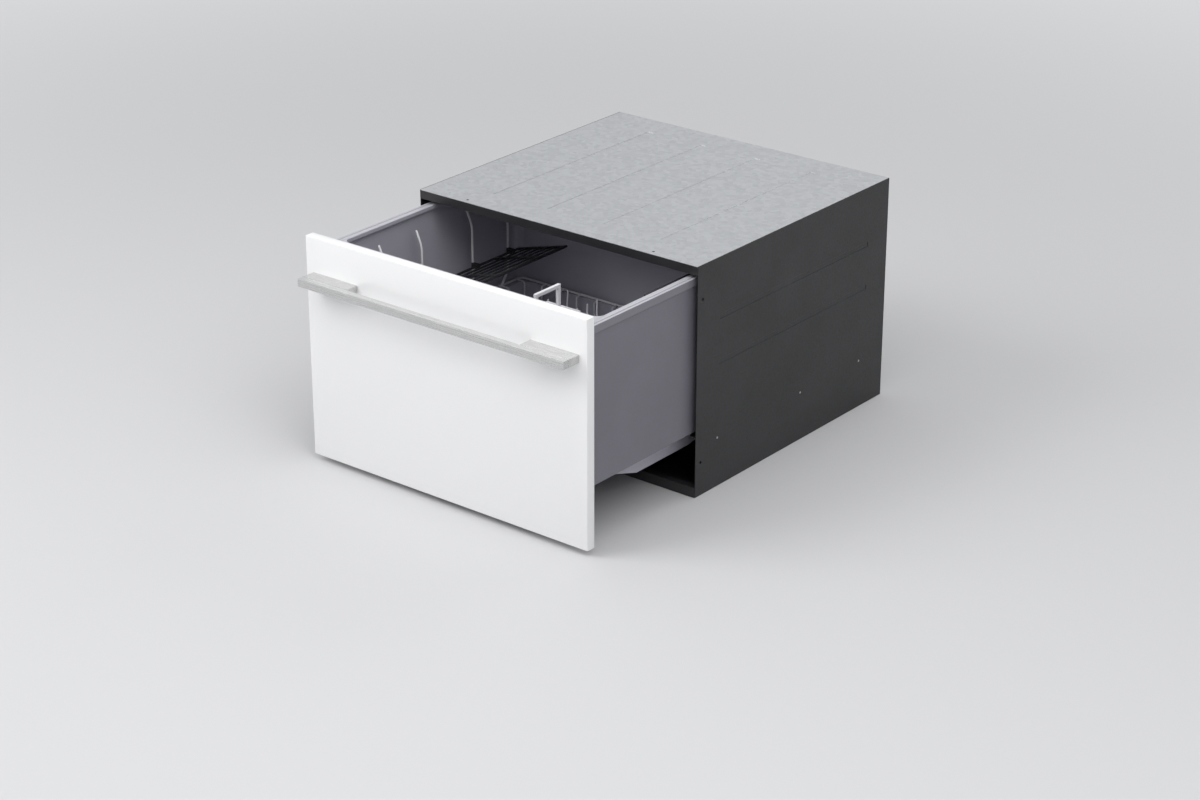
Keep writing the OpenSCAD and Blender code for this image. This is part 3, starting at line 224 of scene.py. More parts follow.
def finish(name, dark, light, rough, grain, grain_mm, depth_mm, metal=0.0, stretch=(1, 1, 1),
           cloud=9.0, coat=0.0):
    """A material. dark and light are its two near colours, rough its lowest and highest roughness,
    grain the scale of the bump pattern and depth_mm the bump's height."""
    material = bpy.data.materials.new(name)
    material.use_nodes = True
    tree = material.node_tree
    shader = tree.nodes["Principled BSDF"]
    shader.inputs["Metallic"].default_value = metal
    shader.inputs["Coat Weight"].default_value = coat
    shader.inputs["Coat Roughness"].default_value = 0.12
    coords = tree.nodes.new("ShaderNodeTexCoord").outputs["Object"]
    clouds = between(tree, noise(tree, coords, cloud, 4.0, stretch), 0, 1)
    link(tree, mix_colour(tree, clouds, dark, light), shader.inputs["Base Color"])
    wear = noise(tree, coords, grain_mm, 3.0, stretch)
    link(tree, between(tree, wear, *rough), shader.inputs["Roughness"])
    bump = tree.nodes.new("ShaderNodeBump")
    bump.inputs["Strength"].default_value = grain
    bump.inputs["Distance"].default_value = depth_mm * MM
    link(tree, noise(tree, coords, grain_mm * 4, 2.0, stretch), bump.inputs["Height"])
    link(tree, bump.outputs["Normal"], shader.inputs["Normal"])
    return material


print("helper ready")

# %% [markdown]
# The door front is a lacquered board: white, satin to the eye, with the faintest ripple where the
# lacquer flowed before it dried. A thin clear coat over it gives the soft second reflection.

# %% White lacquer
finishes = {}
finishes["white_lacquer"] = finish("white_lacquer", (0.856, 0.856, 0.858), (0.864, 0.864, 0.866),
                                   (0.30, 0.32), 0.02, 30, 0.004, cloud=1.0, coat=0.2)
print("finishes:", len(finishes))

# %% [markdown]
# Brushed stainless steel has long fine lines, left by a belt that ran along the bar. The noise is
# stretched about eighty times along X, so that it turns into lines, and they move both the
# roughness and the bump. The zinc on the runners is brushed too, along the way they slide.

# %% Steels
LINES_X = (0.012, 1, 1)
LINES_Y = (1, 0.02, 1)
finishes["brushed_stainless"] = finish("brushed_stainless", (0.61, 0.61, 0.605),
                                       (0.65, 0.65, 0.645), (0.23, 0.30), 0.08, 1500, 0.003,
                                       metal=1.0, stretch=LINES_X, cloud=2200.0)
finishes["runner_steel"] = finish("runner_steel", (0.50, 0.51, 0.52), (0.62, 0.62, 0.63),
                                  (0.28, 0.45), 0.25, 300, 0.03, metal=1.0, stretch=LINES_Y,
                                  cloud=60.0)
finishes["motor_metal"] = finish("motor_metal", (0.30, 0.31, 0.32), (0.42, 0.43, 0.44),
                                 (0.42, 0.6), 0.5, 180, 0.15, metal=0.9, cloud=40.0)
print("finishes:", len(finishes))

# %% [markdown]
# Galvanised sheet shows flat crystals of zinc, some a little brighter than their neighbours. A
# Voronoi pattern has just such cells, so its cell colour moves both the grey and the roughness.

# %% Galvanised sheet


def galvanised():
    material = finish("galvanised", (0.40, 0.41, 0.42), (0.55, 0.56, 0.57), (0.32, 0.5), 0.1, 60,
                      0.03, metal=0.85)
    tree = material.node_tree
    shader = tree.nodes["Principled BSDF"]
    coords = tree.nodes.new("ShaderNodeTexCoord").outputs["Object"]
    cells = tree.nodes.new("ShaderNodeTexVoronoi")
    cells.inputs["Scale"].default_value = 120
    link(tree, coords, cells.inputs["Vector"])
    grey = tree.nodes.new("ShaderNodeSeparateColor")
    link(tree, cells.outputs["Color"], grey.inputs["Color"])
    link(tree, mix_colour(tree, grey.outputs[0], (0.46, 0.47, 0.48), (0.53, 0.54, 0.55)),
         shader.inputs["Base Color"])
    link(tree, between(tree, grey.outputs[1], 0.38, 0.46), shader.inputs["Roughness"])
    return material


finishes["galvanised"] = galvanised()
print("finishes:", len(finishes))

# %% [markdown]
# The rest is paint, plastic and rubber. They differ in colour, in how dull they are and in the size
# of their grain: powder coat has a fine orange-peel, moulded plastic a spark-eroded grain, and the
# nylon on the wires is smooth. A table of numbers says it more clearly than a cell for each.

# %% Paint, plastic and rubber
PLAIN_FINISHES = {
    # name: dark colour, light colour, roughness, bump strength, pattern scale, bump height in mm
    "black_steel": ((0.012, 0.012, 0.013), (0.022, 0.022, 0.024), (0.30, 0.45), 0.35, 260, 0.06),
    "wire_coat": ((0.82, 0.82, 0.83), (0.87, 0.87, 0.88), (0.28, 0.42), 0.15, 160, 0.04),
    "rack_plastic": ((0.018, 0.018, 0.021), (0.032, 0.032, 0.036), (0.38, 0.52), 0.3, 300, 0.05),
    "basket_plastic": ((0.66, 0.66, 0.68), (0.74, 0.74, 0.76), (0.36, 0.5), 0.25, 280, 0.05),
    "dark_plastic": ((0.016, 0.016, 0.018), (0.028, 0.028, 0.031), (0.38, 0.55), 0.35, 300, 0.06),
    "grey_plastic": ((0.085, 0.088, 0.10), (0.12, 0.122, 0.135), (0.36, 0.5), 0.3, 280, 0.05),
    "light_plastic": ((0.50, 0.51, 0.53), (0.60, 0.61, 0.63), (0.26, 0.38), 0.2, 240, 0.04),
    "lid_plastic": ((0.05, 0.05, 0.056), (0.075, 0.075, 0.082), (0.4, 0.55), 0.35, 260, 0.06),
    "black_rubber": ((0.010, 0.010, 0.010), (0.020, 0.020, 0.020), (0.55, 0.75), 0.4, 340, 0.06),
    "white_plastic": ((0.66, 0.66, 0.65), (0.76, 0.76, 0.75), (0.34, 0.48), 0.25, 260, 0.05),
    "orange_plastic": ((0.62, 0.16, 0.02), (0.75, 0.22, 0.04), (0.36, 0.5), 0.25, 260, 0.05),
}
for name, numbers in PLAIN_FINISHES.items():
    finishes[name] = finish(name, *numbers)
print("finishes:", len(finishes))

# %% [markdown]
# The tub is one moulding in a purple-grey, with a fine grain on its walls. Its rim band is a shade
# paler. Its top rim is painted pale, a painted highlight for the light its flat top catches, and
# the inner walls are painted paler, a painted light for the light that the tub's own walls keep
# off.
# The place of a point says whether it is outer wall, rim band, rim top or inside, so the tones are
# mixed by the Object coordinates and one material is enough.

# %% Tub plastic


def tub_plastic():
    material = finish("tub_grey", (0.152, 0.147, 0.174), (0.178, 0.171, 0.201), (0.36, 0.48), 0.3,
                      260, 0.05, cloud=5.0)
    tree = material.node_tree
    shader = tree.nodes["Principled BSDF"]
    walls = shader.inputs["Base Color"].links[0].from_socket
    coords = tree.nodes.new("ShaderNodeTexCoord").outputs["Object"]
    split = tree.nodes.new("ShaderNodeSeparateXYZ")
    link(tree, coords, split.inputs["Vector"])
    across = tree.nodes.new("ShaderNodeMath")
    across.operation = "ABSOLUTE"
    link(tree, split.outputs["X"], across.inputs[0])

    def step(value, low, high):
        fit = tree.nodes.new("ShaderNodeMapRange")
        fit.inputs["From Min"].default_value = low * MM
        fit.inputs["From Max"].default_value = high * MM
        link(tree, value, fit.inputs["Value"])
        return fit.outputs["Result"]

    # Painted light: the inner walls are painted paler, standing in for light that the tub's own
    # walls shade off.
    painted_light_inside = step(across.outputs["Value"], INNER_WALL_X + 1, INNER_WALL_X)
    band = step(split.outputs["Z"], RIM_Z - RIM_BAND_H - 0.5, RIM_Z - RIM_BAND_H)
    tone = mix_colour(tree, painted_light_inside, mix_colour(tree, band, walls, (0.20, 0.195, 0.225)),
                      (0.42, 0.41, 0.47))
    # Painted highlight: the flat top of the rim is painted pale, for the light it catches.
    painted_highlight_top = step(split.outputs["Z"], RIM_Z - 0.9, RIM_Z - 0.3)
    link(tree, mix_colour(tree, painted_highlight_top, tone, (0.46, 0.455, 0.495)), shader.inputs["Base Color"])
    return material


finishes["tub_grey"] = tub_plastic()
print("finishes:", len(finishes))

# %% [markdown]
# Every piece already names the finish it takes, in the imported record. Reading that list keeps the
# render and the record in step, and no piece can be forgotten.

# %% Give every piece its finish
piece_finish = {row["node"]: row["material_slot"] for row in frame["record"]["subparts"]}
for name, slot_name in piece_finish.items():
    mesh = node[name].data
    mesh.materials.clear()
    mesh.materials.append(finishes[slot_name])
print("pieces dressed:", len(piece_finish))

# %% [markdown]
# A real edge is never perfectly sharp, and the thin bright line it catches is much of what makes a
# thing look real. Four modifiers do this without touching the mesh: Weld joins the loose triangles,
# Decimate melts the ones that lie in one plane into whole faces, Bevel rounds the edges that turn
# sharply, and Weighted Normal keeps the flat faces flat.

# %% Soften the edges


def soften(names, radius_mm, segments=2):
    for name in names:
        piece = node[name]
        weld = piece.modifiers.new("join", "WELD")
        weld.merge_threshold = 0.00002
        if name != "tub":      # its rim is a ring with a notch, which one face can't hold
            melt = piece.modifiers.new("melt", "DECIMATE")
            melt.decimate_type = "DISSOLVE"
            melt.angle_limit = math.radians(1)
        bevel = piece.modifiers.new("edge", "BEVEL")
        bevel.width = radius_mm * MM
        bevel.segments = segments
        bevel.limit_method = "ANGLE"
        bevel.angle_limit = math.radians(50)
        bevel.use_clamp_overlap = False
        normals = piece.modifiers.new("even", "WEIGHTED_NORMAL")
        normals.keep_sharp = True


EDGES = {
    0.8: ["handle_bar", "handle_posts", "tub", "control_box"],
    0.6: ["cutlery_basket"],
    0.5: ["cup_rack_left", "cup_rack_right", "lid", "dispenser_lid", "dispenser_body",
          "lid_actuators", "drying_fan", "rinse_cap", "drain_filter"],
    0.35: ["power_button", "program_button", "start_button", "dispenser_latch",
           "door_frame", "side_panel_left", "side_panel_right", "base_pan", "back_panel",
           "front_sill", "front_crossbar", "top_panel", "wash_motor", "filter_plate"],
}
for radius, names in EDGES.items():
    soften(names, radius)
print("softened:", sum(len(names) for names in EDGES.values()))

# %% [markdown]
# ## The door front
# The front is a board, lacquered on all sides, so its edges are a little rounder than those of
# metal. It starts as a cube at the size of the board. Its edges are beveled in edit mode, and the
# four holes for the handle's screws are cut right through it.

# %% Helpers for solid pieces


def clear_selection():
    bpy.ops.object.select_all(action="DESELECT")


def make_active(piece):
    clear_selection()
    piece.select_set(True)
    bpy.context.view_layer.objects.active = piece


def cuboid(name, low, high):
    """A cube between two corners in drawer millimetres, with its place in its mesh."""
    a, b = drawer_point(*low), drawer_point(*high)
    clear_selection()
    bpy.ops.mesh.primitive_cube_add(size=1, location=(a + b) / 2)
    piece = bpy.context.object
    piece.name = name
    piece.scale = b - a
    bpy.ops.object.transform_apply(location=True, rotation=False, scale=True)
    return piece


def bevel_all(piece, radius_mm, segments=3):
    """Rounds every edge of a piece in edit mode."""
    make_active(piece)
    bpy.ops.object.mode_set(mode="EDIT")
    bpy.ops.mesh.select_all(action="SELECT")
    bpy.ops.mesh.bevel(offset=radius_mm * MM, segments=segments, profile=0.5)
    bpy.ops.object.mode_set(mode="OBJECT")


def cut_with(piece, cutters):
    """Cuts other meshes out of a piece, and removes them."""
    for cutter in cutters:
        make_active(piece)
        cut = piece.modifiers.new("cut", "BOOLEAN")
        cut.object = cutter
        cut.solver = "EXACT"
        bpy.ops.object.modifier_apply(modifier="cut")
        bpy.data.objects.remove(cutter)


def round_cutter(place, radius_mm, length_mm, along="Y", sides=24):
    """A cylinder that is only there to cut a hole."""
    turn = {"X": (0, math.pi / 2, 0), "Y": (math.pi / 2, 0, 0), "Z": (0, 0, 0)}[along]
    clear_selection()
    bpy.ops.mesh.primitive_cylinder_add(radius=radius_mm * MM, depth=length_mm * MM,
                                        vertices=sides, location=place, rotation=turn)
    return bpy.context.object


def dress(piece, slot_name, body, smooth=40, stands_for=()):
    """Finish, body and, if it stands for solids, their names. A blended piece has no body."""
    make_active(piece)
    bpy.ops.object.shade_smooth_by_angle(angle=math.radians(smooth))
    piece.data.materials.clear()
    piece.data.materials.append(finishes[slot_name])
    if body:
        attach(piece, body)
    if stands_for:
        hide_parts(*stands_for)
    return piece


# %% The door front
HANDLE_Z = 339.5
HANDLE_SCREW_XS = (204.4, 234.4)
board = cuboid("front_board", (-298.5, -18, 12), (298.5, 0, 408))
bevel_all(board, 1.1)
cut_with(board, [round_cutter(drawer_point(side * x, -8, HANDLE_Z), 2.2, 22)
                 for side in (-1, 1) for x in HANDLE_SCREW_XS])
dress(board, "white_lacquer", "drawer", stands_for=["front_panel"])
print("door front:", len(board.data.polygons), "faces")

# %% [markdown]
# ## Wire racks
# A dishwasher rack is steel wire, cut, bent and spot-welded, then dipped in nylon. The solids hold
# it as square wire, which is enough for its strength and weight. Here each wire is drawn as a line
# with a round section, because a curve with a depth is the plainest way to make a bent rod. The
# corner of each bend is turned on a small arc, as a bending tool leaves it.

# %% Helpers for bent wire


def round_corners(points, radius, steps=5):
    """The same path, with each corner turned into an arc of about that radius."""
    path = [points[0]]
    for before, corner, after in zip(points, points[1:], points[2:]):
        back, ahead = (before - corner), (after - corner)
        reach = min(radius, back.length * 0.45, ahead.length * 0.45)
        start = corner + back.normalized() * reach
        end = corner + ahead.normalized() * reach
        for k in range(steps + 1):
            t = k / steps
            path.append(start * (1 - t) ** 2 + corner * 2 * t * (1 - t) + end * t ** 2)
    path.append(points[-1])
    return path


def wires(name, paths, thickness_mm, body, slot_name, bend=5, round_tips=()):
    """A mesh of round wires. paths are lists of points in drawer millimetres."""
    curve = bpy.data.curves.new(name, "CURVE")
    curve.dimensions = "3D"
    curve.bevel_depth = thickness_mm * MM / 2
    curve.bevel_resolution = 2
    curve.use_fill_caps = True
    for number, points in enumerate(paths):
        line = round_corners([drawer_point(*p) for p in points], bend * MM)
        sizes = [1.0] * len(line)
        if number in round_tips:
            tip = line[-1]
            along = (line[-1] - line[-2]).normalized() * thickness_mm * MM / 2
            line[-1] = tip - along
            line += [tip - along * 0.45, tip - along * 0.1]
            sizes += [0.84, 0.45]
        spline = curve.splines.new("POLY")
        spline.points.add(len(line) - 1)
        for point, place, size in zip(spline.points, line, sizes):
            point.co = (*place, 1)
            point.radius = size
    piece = bpy.data.objects.new(name, curve)
    bpy.context.collection.objects.link(piece)
    make_active(piece)
    bpy.ops.object.convert(target="MESH")
    return dress(bpy.context.object, slot_name, body, smooth=50)


print("wire helper ready")

# %% [markdown]
# Each base rack is half the width of the tub. A thick frame wire lies on the tub's shoulder, a
# second one lies below it in the basin, and thin wires run lengthways and across between them, up
# the sides and out on to the shoulder. One function draws either rack, and side mirrors it.

# %% Measures of the racks
RACK_IN_X, RACK_X = 8, 250
RACK_Y = (54, 481.8)
RAIL_X, RAIL_Y = 268.5, (40, 495.8)
LONG_XS = [RACK_IN_X + (RACK_X - RACK_IN_X) * k / 6 for k in range(7)]
CROSS_YS = [RACK_Y[0] + (RACK_Y[1] - RACK_Y[0]) * k / 10 for k in range(11)]
SIDE_WIRE_X = 252
SIDE_WIRE_YS = [120, 214, 345, 440]
TINE_PITCH, TINE_H = 27, 72


def rack_wires(side):
    """The thin wires of one rack, side 1 for the right and -1 for the left."""
    paths = []
    for x in LONG_XS[1:-1]:
        paths.append([(side * x, RAIL_Y[0], RAIL_Z), (side * x, RACK_Y[0], RAIL_Z),
                      (side * x, RACK_Y[0], RACK_Z), (side * x, RACK_Y[1], RACK_Z),
                      (side * x, RACK_Y[1], RAIL_Z), (side * x, RAIL_Y[1], RAIL_Z)])
    for y in CROSS_YS[1:-1]:
        paths.append([(side * RAIL_X, y, RAIL_Z), (side * RACK_X, y, RAIL_Z),
                      (side * RACK_X, y, CROSS_Z), (side * RACK_IN_X, y, CROSS_Z),
                      (side * (RACK_IN_X - 2), y, RAIL_Z)])
    for y in (CROSS_YS[0], CROSS_YS[-1]):
        paths.append([(side * RAIL_X, y, RAIL_Z), (side * RACK_X, y, RAIL_Z),
                      (side * RACK_X, y, RACK_Z)])
        paths.append([(side * RACK_IN_X, y, RACK_Z), (side * (RACK_IN_X - 2), y, RAIL_Z)])
    return paths


def loop(x0, x1, y0, y1, z):
    """A closed rectangle of wire, which starts and ends in the middle of a side."""
    middle = (x0 + x1) / 2
    return [(middle, y0, z), (x1, y0, z), (x1, y1, z), (x0, y1, z), (x0, y0, z), (middle, y0, z)]


print("wires in one rack:", len(rack_wires(1)))

# %% [markdown]
# The racks also carry what holds the load: a fixed row of upright tines in each, tall wires up
# the tub's sides that lean out at the top, and small plastic eyes for the parts that fold. The
# tines end in a rounded tip, where the nylon gathers in a drop.

# %% The left rack
LEFT_TINES = [CROSS_YS[1] + 8 + TINE_PITCH * k for k in range(13)]
RIGHT_TINES = [CROSS_YS[2] + 12 + TINE_PITCH * k for k in range(11)]
LEFT_ROW_X, RIGHT_ROW_X = -40, 92


def tall_wire(side, y):
    x = side * SIDE_WIRE_X
    return [(side * RAIL_X, y, RAIL_Z), (x, y, RAIL_Z + 34), (x, y, RIM_Z - 55),
            (x + side * 12, y, RIM_Z - 28)]


def tine(x, y):
    return [(x, y, CROSS_Z), (x, y, CROSS_Z + GRID_WIRE / 2 + TINE_H)]


def base_rack(name, side, row_x, tine_ys, tall_ys):
    """The wires of a base rack, thin and thick, joined into one piece."""
    thin = rack_wires(side)
    thin.append([(row_x, tine_ys[0] - 8, CROSS_Z), (row_x, CROSS_YS[9] + 8, CROSS_Z)])
    tips = range(len(thin), len(thin) + len(tine_ys))
    thin += [tine(row_x, y) for y in tine_ys]
    thick = [loop(side * (RACK_IN_X - 2), side * RAIL_X, RAIL_Y[0], RAIL_Y[1], RAIL_Z),
             loop(side * RACK_IN_X, side * RACK_X, RACK_Y[0], RACK_Y[1], RACK_Z)]
    tall_tips = range(2, 2 + len(tall_ys))
    thick += [tall_wire(side, y) for y in tall_ys]
    fine = wires(name, thin, GRID_WIRE, "drawer", "wire_coat", bend=5, round_tips=tips)
    frame_part = wires(name + "_frame", thick, FRAME_WIRE, "drawer", "wire_coat", bend=11,
                       round_tips=tall_tips)
    return fine, frame_part


left_rack = base_rack("left_rack_wires", -1, LEFT_ROW_X, LEFT_TINES, SIDE_WIRE_YS)
print("left rack:", [p.name for p in left_rack])

# %% The right rack
right_rack = base_rack("right_rack_wires", 1, RIGHT_ROW_X, RIGHT_TINES, SIDE_WIRE_YS[1:])
print("right rack:", [p.name for p in right_rack])

# %% [markdown]
# The eyes are small clips of plastic. Each starts as a cube in its place along the rod that turns
# in it, has its edges rounded and a hole cut for the rod. They are dark, as the cup racks are.

# %% Hinge eyes
HINGE_X, CUP_HINGE_Z = 242, 258
TINE_HINGE_Z = CROSS_Z + GRID_WIRE / 2 + 2 + 1.2
LEFT_HINGE_X, RIGHT_HINGE_X = -110, 178
LEFT_EYES = [CROSS_YS[2], CROSS_YS[5], CROSS_YS[8]]
RIGHT_EYES = [CROSS_YS[3], CROSS_YS[6], CROSS_YS[8]]


def clip(centre, size, rod_radius, hole_drop=0.0):
    """A rounded block of drawer millimetres, with a hole along Y for the rod."""
    half = [v / 2 for v in size]
    block = cuboid("clip", [c - h for c, h in zip(centre, half)],
                   [c + h for c, h in zip(centre, half)])
    bevel_all(block, 0.7, 2)
    hole = drawer_point(centre[0], centre[1], centre[2] + hole_drop)
    cut_with(block, [round_cutter(hole, rod_radius, size[1] * 3, sides=20)])
    return block


def join_as(name, parts):
    """One piece from several."""
    clear_selection()
    for part in parts:
        part.select_set(True)
    bpy.context.view_layer.objects.active = parts[0]
    bpy.ops.object.join()
    piece = bpy.context.object
    piece.name = name
    return piece


def rack_eyes(name, side, tall_ys, tine_x, tine_eye_ys):
    parts = [clip((side * (HINGE_X + 3), y, CUP_HINGE_Z), (17, 6, 10), 2.3) for y in tall_ys]
    parts += [clip((tine_x, y, TINE_HINGE_Z + 0.7), (10, 5, 7.6), 2.1, -0.7) for y in tine_eye_ys]
    return dress(join_as(name, parts), "rack_plastic", "drawer")


left_eyes = rack_eyes("left_rack_eyes", -1, SIDE_WIRE_YS, LEFT_HINGE_X, LEFT_EYES)
right_eyes = rack_eyes("right_rack_eyes", 1, SIDE_WIRE_YS[1:], RIGHT_HINGE_X, RIGHT_EYES)
for piece in (*left_rack, left_eyes):
    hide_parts("rack_left")
for piece in (*right_rack, right_eyes):
    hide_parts("rack_right")
print("eyes:", left_eyes.name, right_eyes.name)

# %% [markdown]
# Beside each fixed row stands a row that folds flat, so that something large can lie in the rack.
# It is a rod with tines welded to it, and it turns in the eyes. It rides on its own body, and its
# tines lean a little, as they do on the solids.

# %% Folding tine rows
LEAN = math.radians(4)


def folding_row(name, x, tine_ys, eye_ys, body):
    paths = [[(x, tine_ys[0] - 6, TINE_HINGE_Z), (x, CROSS_YS[9] + 8, TINE_HINGE_Z)]]
    rod_piece = wires(name + "_rod", paths, 4, body, "wire_coat")
    reach = TINE_H - 4 + GRID_WIRE / 2
    uprights = [[(x, y, TINE_HINGE_Z),
                 (x + reach * math.sin(LEAN), y, TINE_HINGE_Z + reach * math.cos(LEAN))]
                for y in tine_ys if min(abs(y - eye) for eye in eye_ys) > 5]
    comb = wires(name, uprights, GRID_WIRE, body, "wire_coat", round_tips=range(len(uprights)))
    for piece in (rod_piece, comb):
        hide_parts(body)


folding_row("left_folding_tines", LEFT_HINGE_X, LEFT_TINES, LEFT_EYES, "tine_row_left")
folding_row("right_folding_tines", RIGHT_HINGE_X, RIGHT_TINES, RIGHT_EYES, "tine_row_right")
print("folding rows done")

# %% [markdown]
# ## The spray arm
# The spray arm is two moulded blades on a hub. Each blade is widest at the hub and ends in a half
# round, its top is gently crowned, and a line of small jets throws the water up. It starts as one
# long cube, cut into many sections, and each point is then moved in to the width that the blade
# has there.

# %% Spray arm
SUMP_Y, ARM_Z, ARM_T = 235, 116, 12
ARM_L, HUB_R = 184, 26
ROOT_HALF, TIP_R = 22, 14      # half the width at the hub, and the radius of a blade's end


def blade_half_width(reach):
    """Half the width of a blade, at a distance from the hub's middle."""
    if reach > ARM_L - TIP_R:
        return math.sqrt(max(TIP_R ** 2 - (reach - ARM_L + TIP_R) ** 2, 4.0))
    return ROOT_HALF - (ROOT_HALF - TIP_R) * reach / (ARM_L - TIP_R)


blades = cuboid("spray_arm_blades", (-ARM_L + 1, SUMP_Y - ROOT_HALF, ARM_Z + 1),
                (ARM_L - 1, SUMP_Y + ROOT_HALF, ARM_Z + ARM_T - 1))
make_active(blades)
bpy.ops.object.mode_set(mode="EDIT")
bpy.ops.mesh.select_all(action="SELECT")
bpy.ops.mesh.subdivide(number_cuts=23)
bpy.ops.object.mode_set(mode="OBJECT")
for point in blades.data.vertices:
    reach = abs(point.co.x) / MM
    across = (point.co.y / MM - DRAWER_Y - SUMP_Y) / ROOT_HALF
    point.co.y = (DRAWER_Y + SUMP_Y + across * blade_half_width(reach)) * MM
    if point.co.z > (ARM_Z + 6) * MM:
        point.co.z -= 2.2 * across ** 2 * MM
clear_selection()
bpy.ops.mesh.primitive_cylinder_add(radius=HUB_R * MM, depth=ARM_T * MM, vertices=64,
                                    location=drawer_point(0, SUMP_Y, ARM_Z + ARM_T / 2))
hub = bpy.context.object
bpy.ops.object.transform_apply(location=True, rotation=False, scale=False)
bevel_edges = hub.modifiers.new("edge", "BEVEL")
bevel_edges.width, bevel_edges.segments = 2.5 * MM, 3
bevel_edges.limit_method = "ANGLE"
bpy.ops.object.modifier_apply(modifier="edge")
arm = join_as("spray_arm_body", [blades, hub])
jets = [round_cutter(drawer_point(side * k * (ARM_L - 20) / 6,
                                  SUMP_Y + (4 if k % 2 == 0 else -4) * side,
                                  ARM_Z + ARM_T), 1.9, 8, "Z", 16)
        for side in (-1, 1) for k in range(1, 7)]
jets.append(round_cutter(drawer_point(0, SUMP_Y, ARM_Z + 6), 6.05, 30, "Z", 40))
cut_with(arm, jets)
dress(arm, "grey_plastic", "spray_arm", smooth=35, stands_for=["spray_arm"])
print("spray arm:", len(arm.data.polygons), "faces")

# %% [markdown]
# ## The control strip
# The buttons lie on top of the drawer, in a dark strip between the door front and the tub, where
# they are hidden while the drawer is shut. The strip is a cube with rounded edges, and the wells
# for the three buttons and the shallow window of the display are cut out of it. A row of small
# round lamps beside the window shows what the machine is doing.

# %% Control strip
STRIP_Z = (370, 384)
BUTTON_XS, BUTTON_Y = (-60, -30, 0), 14.6
STRIP_LAMP_XS = (134, 144, 154)
fascia = cuboid("control_fascia", (-272, 1.2, STRIP_Z[0]), (272, 28, STRIP_Z[1]))
bevel_all(fascia, 0.6, 2)
wells = [cuboid("well", (x - 9.3, BUTTON_Y - 4.8, 372), (x + 9.3, BUTTON_Y + 4.8, 390))
         for x in BUTTON_XS]
wells.append(cuboid("window", (40, BUTTON_Y - 5, 383.4), (120, BUTTON_Y + 5, 390)))
wells += [round_cutter(drawer_point(x, BUTTON_Y, STRIP_Z[1]), 1.6, 1.6, "Z", 20)
          for x in STRIP_LAMP_XS]
cut_with(fascia, wells)
dress(fascia, "dark_plastic", "drawer", stands_for=["control_strip"])
lamps = []
for x in STRIP_LAMP_XS:
    clear_selection()
    bpy.ops.mesh.primitive_uv_sphere_add(radius=1.5 * MM, segments=16, ring_count=8,
                                         location=drawer_point(x, BUTTON_Y, 382.6))
    bpy.ops.object.transform_apply(location=True, rotation=False, scale=False)
    lamps.append(bpy.context.object)
dress(join_as("strip_lamps", lamps), "light_plastic", "drawer")
print("control strip:", len(fascia.data.polygons), "faces")

# %% [markdown]
# ## The water inlet
# At the back, the supply hose screws on to a three-quarter inch thread. A thread is one wire wound
# into a helix round the spigot, fourteen turns to the inch, and a small strainer sits in its mouth.
# The body behind it is a rounded block, with the coil that opens the valve standing on it.

# %% Water inlet
INLET_X, INLET_Z = 180, 50
TO_CHASSIS = CHASSIS_Y - DRAWER_Y      # chassis depths, counted from the back of the door front
BACK_Y = TO_CHASSIS + 555
THREAD_PITCH = 25.4 / 14
THREAD_R, TURNS = 12.6, 6


def standing_cylinder(name, place, radius_mm, length_mm, along="Y", sides=48, edge_mm=0.6):
    """A cylinder with rounded rims, with its place in its mesh."""
    tube = round_cutter(place, radius_mm, length_mm, along, sides)
    tube.name = name
    bpy.ops.object.transform_apply(location=True, rotation=True, scale=False)
    rims = tube.modifiers.new("rims", "BEVEL")
    rims.width, rims.segments, rims.limit_method = edge_mm * MM, 2, "ANGLE"
    bpy.ops.object.modifier_apply(modifier="rims")
    return tube


spigot = standing_cylinder("spigot", drawer_point(INLET_X, BACK_Y + 5.9, INLET_Z), 12.3, 14.2)
cut_with(spigot, [round_cutter(drawer_point(INLET_X, BACK_Y + 13, INLET_Z), 9.6, 16, sides=48)])
strainer = standing_cylinder("strainer", drawer_point(INLET_X, BACK_Y + 7, INLET_Z), 9.5, 1.2,
                             edge_mm=0.2)
cut_with(strainer, [round_cutter(drawer_point(INLET_X + x, BACK_Y + 7, INLET_Z + z), 1.0, 6,
                                 sides=8)
                    for x in range(-6, 7, 3) for z in range(-6, 7, 3) if x * x + z * z < 60])
valve_body = cuboid("valve_body", (INLET_X - 17, BACK_Y - 46, INLET_Z - 16),
                    (INLET_X + 17, BACK_Y - 1.2, INLET_Z + 16))
bevel_all(valve_body, 1.5)
valve_foot = cuboid("valve_foot", (INLET_X - 10, BACK_Y - 40, 1.2),
                    (INLET_X + 10, BACK_Y - 12, INLET_Z - 15))
bevel_all(valve_foot, 0.8)
coil = standing_cylinder("coil", drawer_point(INLET_X, BACK_Y - 26, INLET_Z + 28.5), 12, 26, "Z",
                         edge_mm=1.5)
dress(join_as("inlet_valve_body", [valve_body, valve_foot, coil, spigot, strainer]),
      "white_plastic", "chassis", stands_for=["inlet_valve"])
helix = [(INLET_X + THREAD_R * math.cos(a), BACK_Y + 1.2 + THREAD_PITCH * a / math.tau,
          INLET_Z + THREAD_R * math.sin(a))
         for a in (math.tau * k / 24 for k in range(24 * TURNS + 1))]
thread = wires("inlet_thread", [helix], 1.2, "chassis", "white_plastic", bend=0.3)
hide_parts("inlet_valve")
print("thread:", len(thread.data.polygons), "faces")
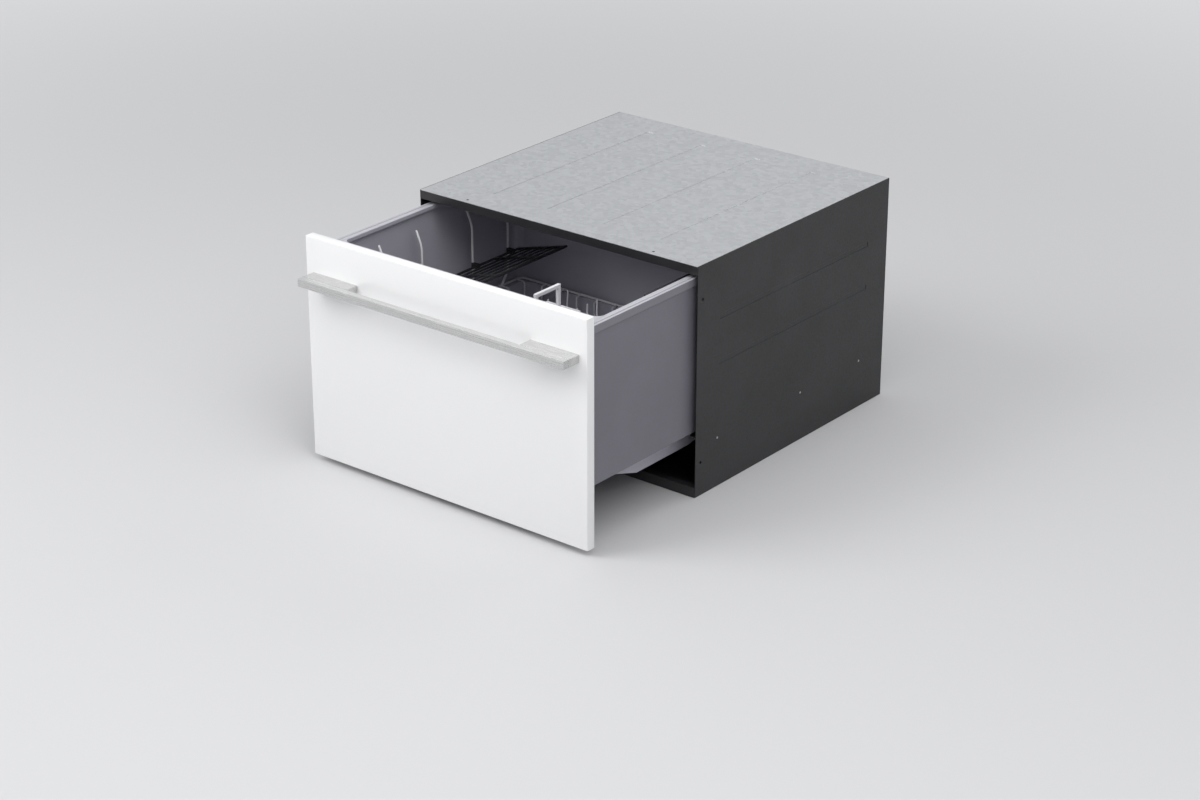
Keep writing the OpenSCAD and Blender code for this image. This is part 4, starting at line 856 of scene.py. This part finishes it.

# %% [markdown]
# ## The link hose
# Water leaves the sliding drawer through a hose to the back of the chassis. It is corrugated, so
# that it can be pushed together like a concertina while the drawer shuts. A curve whose radius goes
# up and down along it gives the rings. One end meets the drawer and the other the chassis; the hose
# itself is given no body.

# %% Link hose
HOSE_X, HOSE_Z, HOSE_R = 112, 52, 11
HOSE_Y = (335.5, TO_CHASSIS + 515)
RINGS = 60
hose_curve = bpy.data.curves.new("concertina_hose", "CURVE")
hose_curve.dimensions = "3D"
hose_curve.bevel_depth = HOSE_R * MM
hose_curve.bevel_resolution = 4
spline = hose_curve.splines.new("POLY")
steps = 4 * RINGS
spline.points.add(steps)
for k, point in enumerate(spline.points):
    y = HOSE_Y[0] + (HOSE_Y[1] - HOSE_Y[0]) * k / steps
    point.co = (*drawer_point(HOSE_X, y, HOSE_Z), 1)
    point.radius = 0.9 + 0.09 * math.cos(math.pi * k / 2) if 6 < k < steps - 6 else 0.98
hose = bpy.data.objects.new("concertina_hose", hose_curve)
bpy.context.collection.objects.link(hose)
make_active(hose)
bpy.ops.object.convert(target="MESH")
hose = dress(bpy.context.object, "black_rubber", None, smooth=60, stands_for=["link_hose"])
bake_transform(hose)
print("hose:", len(hose.data.polygons), "faces,", round(HOSE_Y[1] - HOSE_Y[0]), "mm long")

# %% [markdown]
# ## The studio floor
# The floor is a pale plain sheet that is no part of the object. Near the object it is paper, and
# keeps the soft shadow under the drawer. Far away it fades to the tone of the background, as a
# photographer's sweep of paper does, so that no horizon shows behind the object.

# %% Floor
bpy.ops.mesh.primitive_plane_add(size=60, location=(0, 0, cad_low[2] - 0.0005))
floor = bpy.context.object
floor.name = "floor"
paper = bpy.data.materials.new("paper")
paper.use_nodes = True
tree = paper.node_tree
sheet = tree.nodes["Principled BSDF"]
sheet.inputs["Base Color"].default_value = (0.61, 0.61, 0.618, 1)
sheet.inputs["Roughness"].default_value = 0.9
reach = tree.nodes.new("ShaderNodeVectorMath")
reach.operation = "LENGTH"
link(tree, tree.nodes.new("ShaderNodeTexCoord").outputs["Object"], reach.inputs[0])
fade = tree.nodes.new("ShaderNodeMapRange")
fade.interpolation_type = "SMOOTHSTEP"
fade.inputs["From Min"].default_value, fade.inputs["From Max"].default_value = 1.0, 4.5
link(tree, reach.outputs["Value"], fade.inputs["Value"])
only_seen = tree.nodes.new("ShaderNodeMath")
only_seen.operation = "MULTIPLY"
link(tree, fade.outputs["Result"], only_seen.inputs[0])
link(tree, tree.nodes.new("ShaderNodeLightPath").outputs["Is Camera Ray"], only_seen.inputs[1])
distant = tree.nodes.new("ShaderNodeEmission")
distant.inputs["Color"].default_value = PALE
distant.inputs["Strength"].default_value = PALE_SEEN
sweep = tree.nodes.new("ShaderNodeMixShader")
link(tree, only_seen.outputs["Value"], sweep.inputs[0])
link(tree, sheet.outputs["BSDF"], sweep.inputs[1])
link(tree, distant.outputs["Emission"], sweep.inputs[2])
link(tree, sweep.outputs["Shader"], tree.nodes["Material Output"].inputs["Surface"])
floor.data.materials.append(paper)
print("floor at", round(cad_low[2] * 1000, 1), "mm")

# %% [markdown]
# The last cell only prints that the scene is done.

# %% Finish
print("scene done")
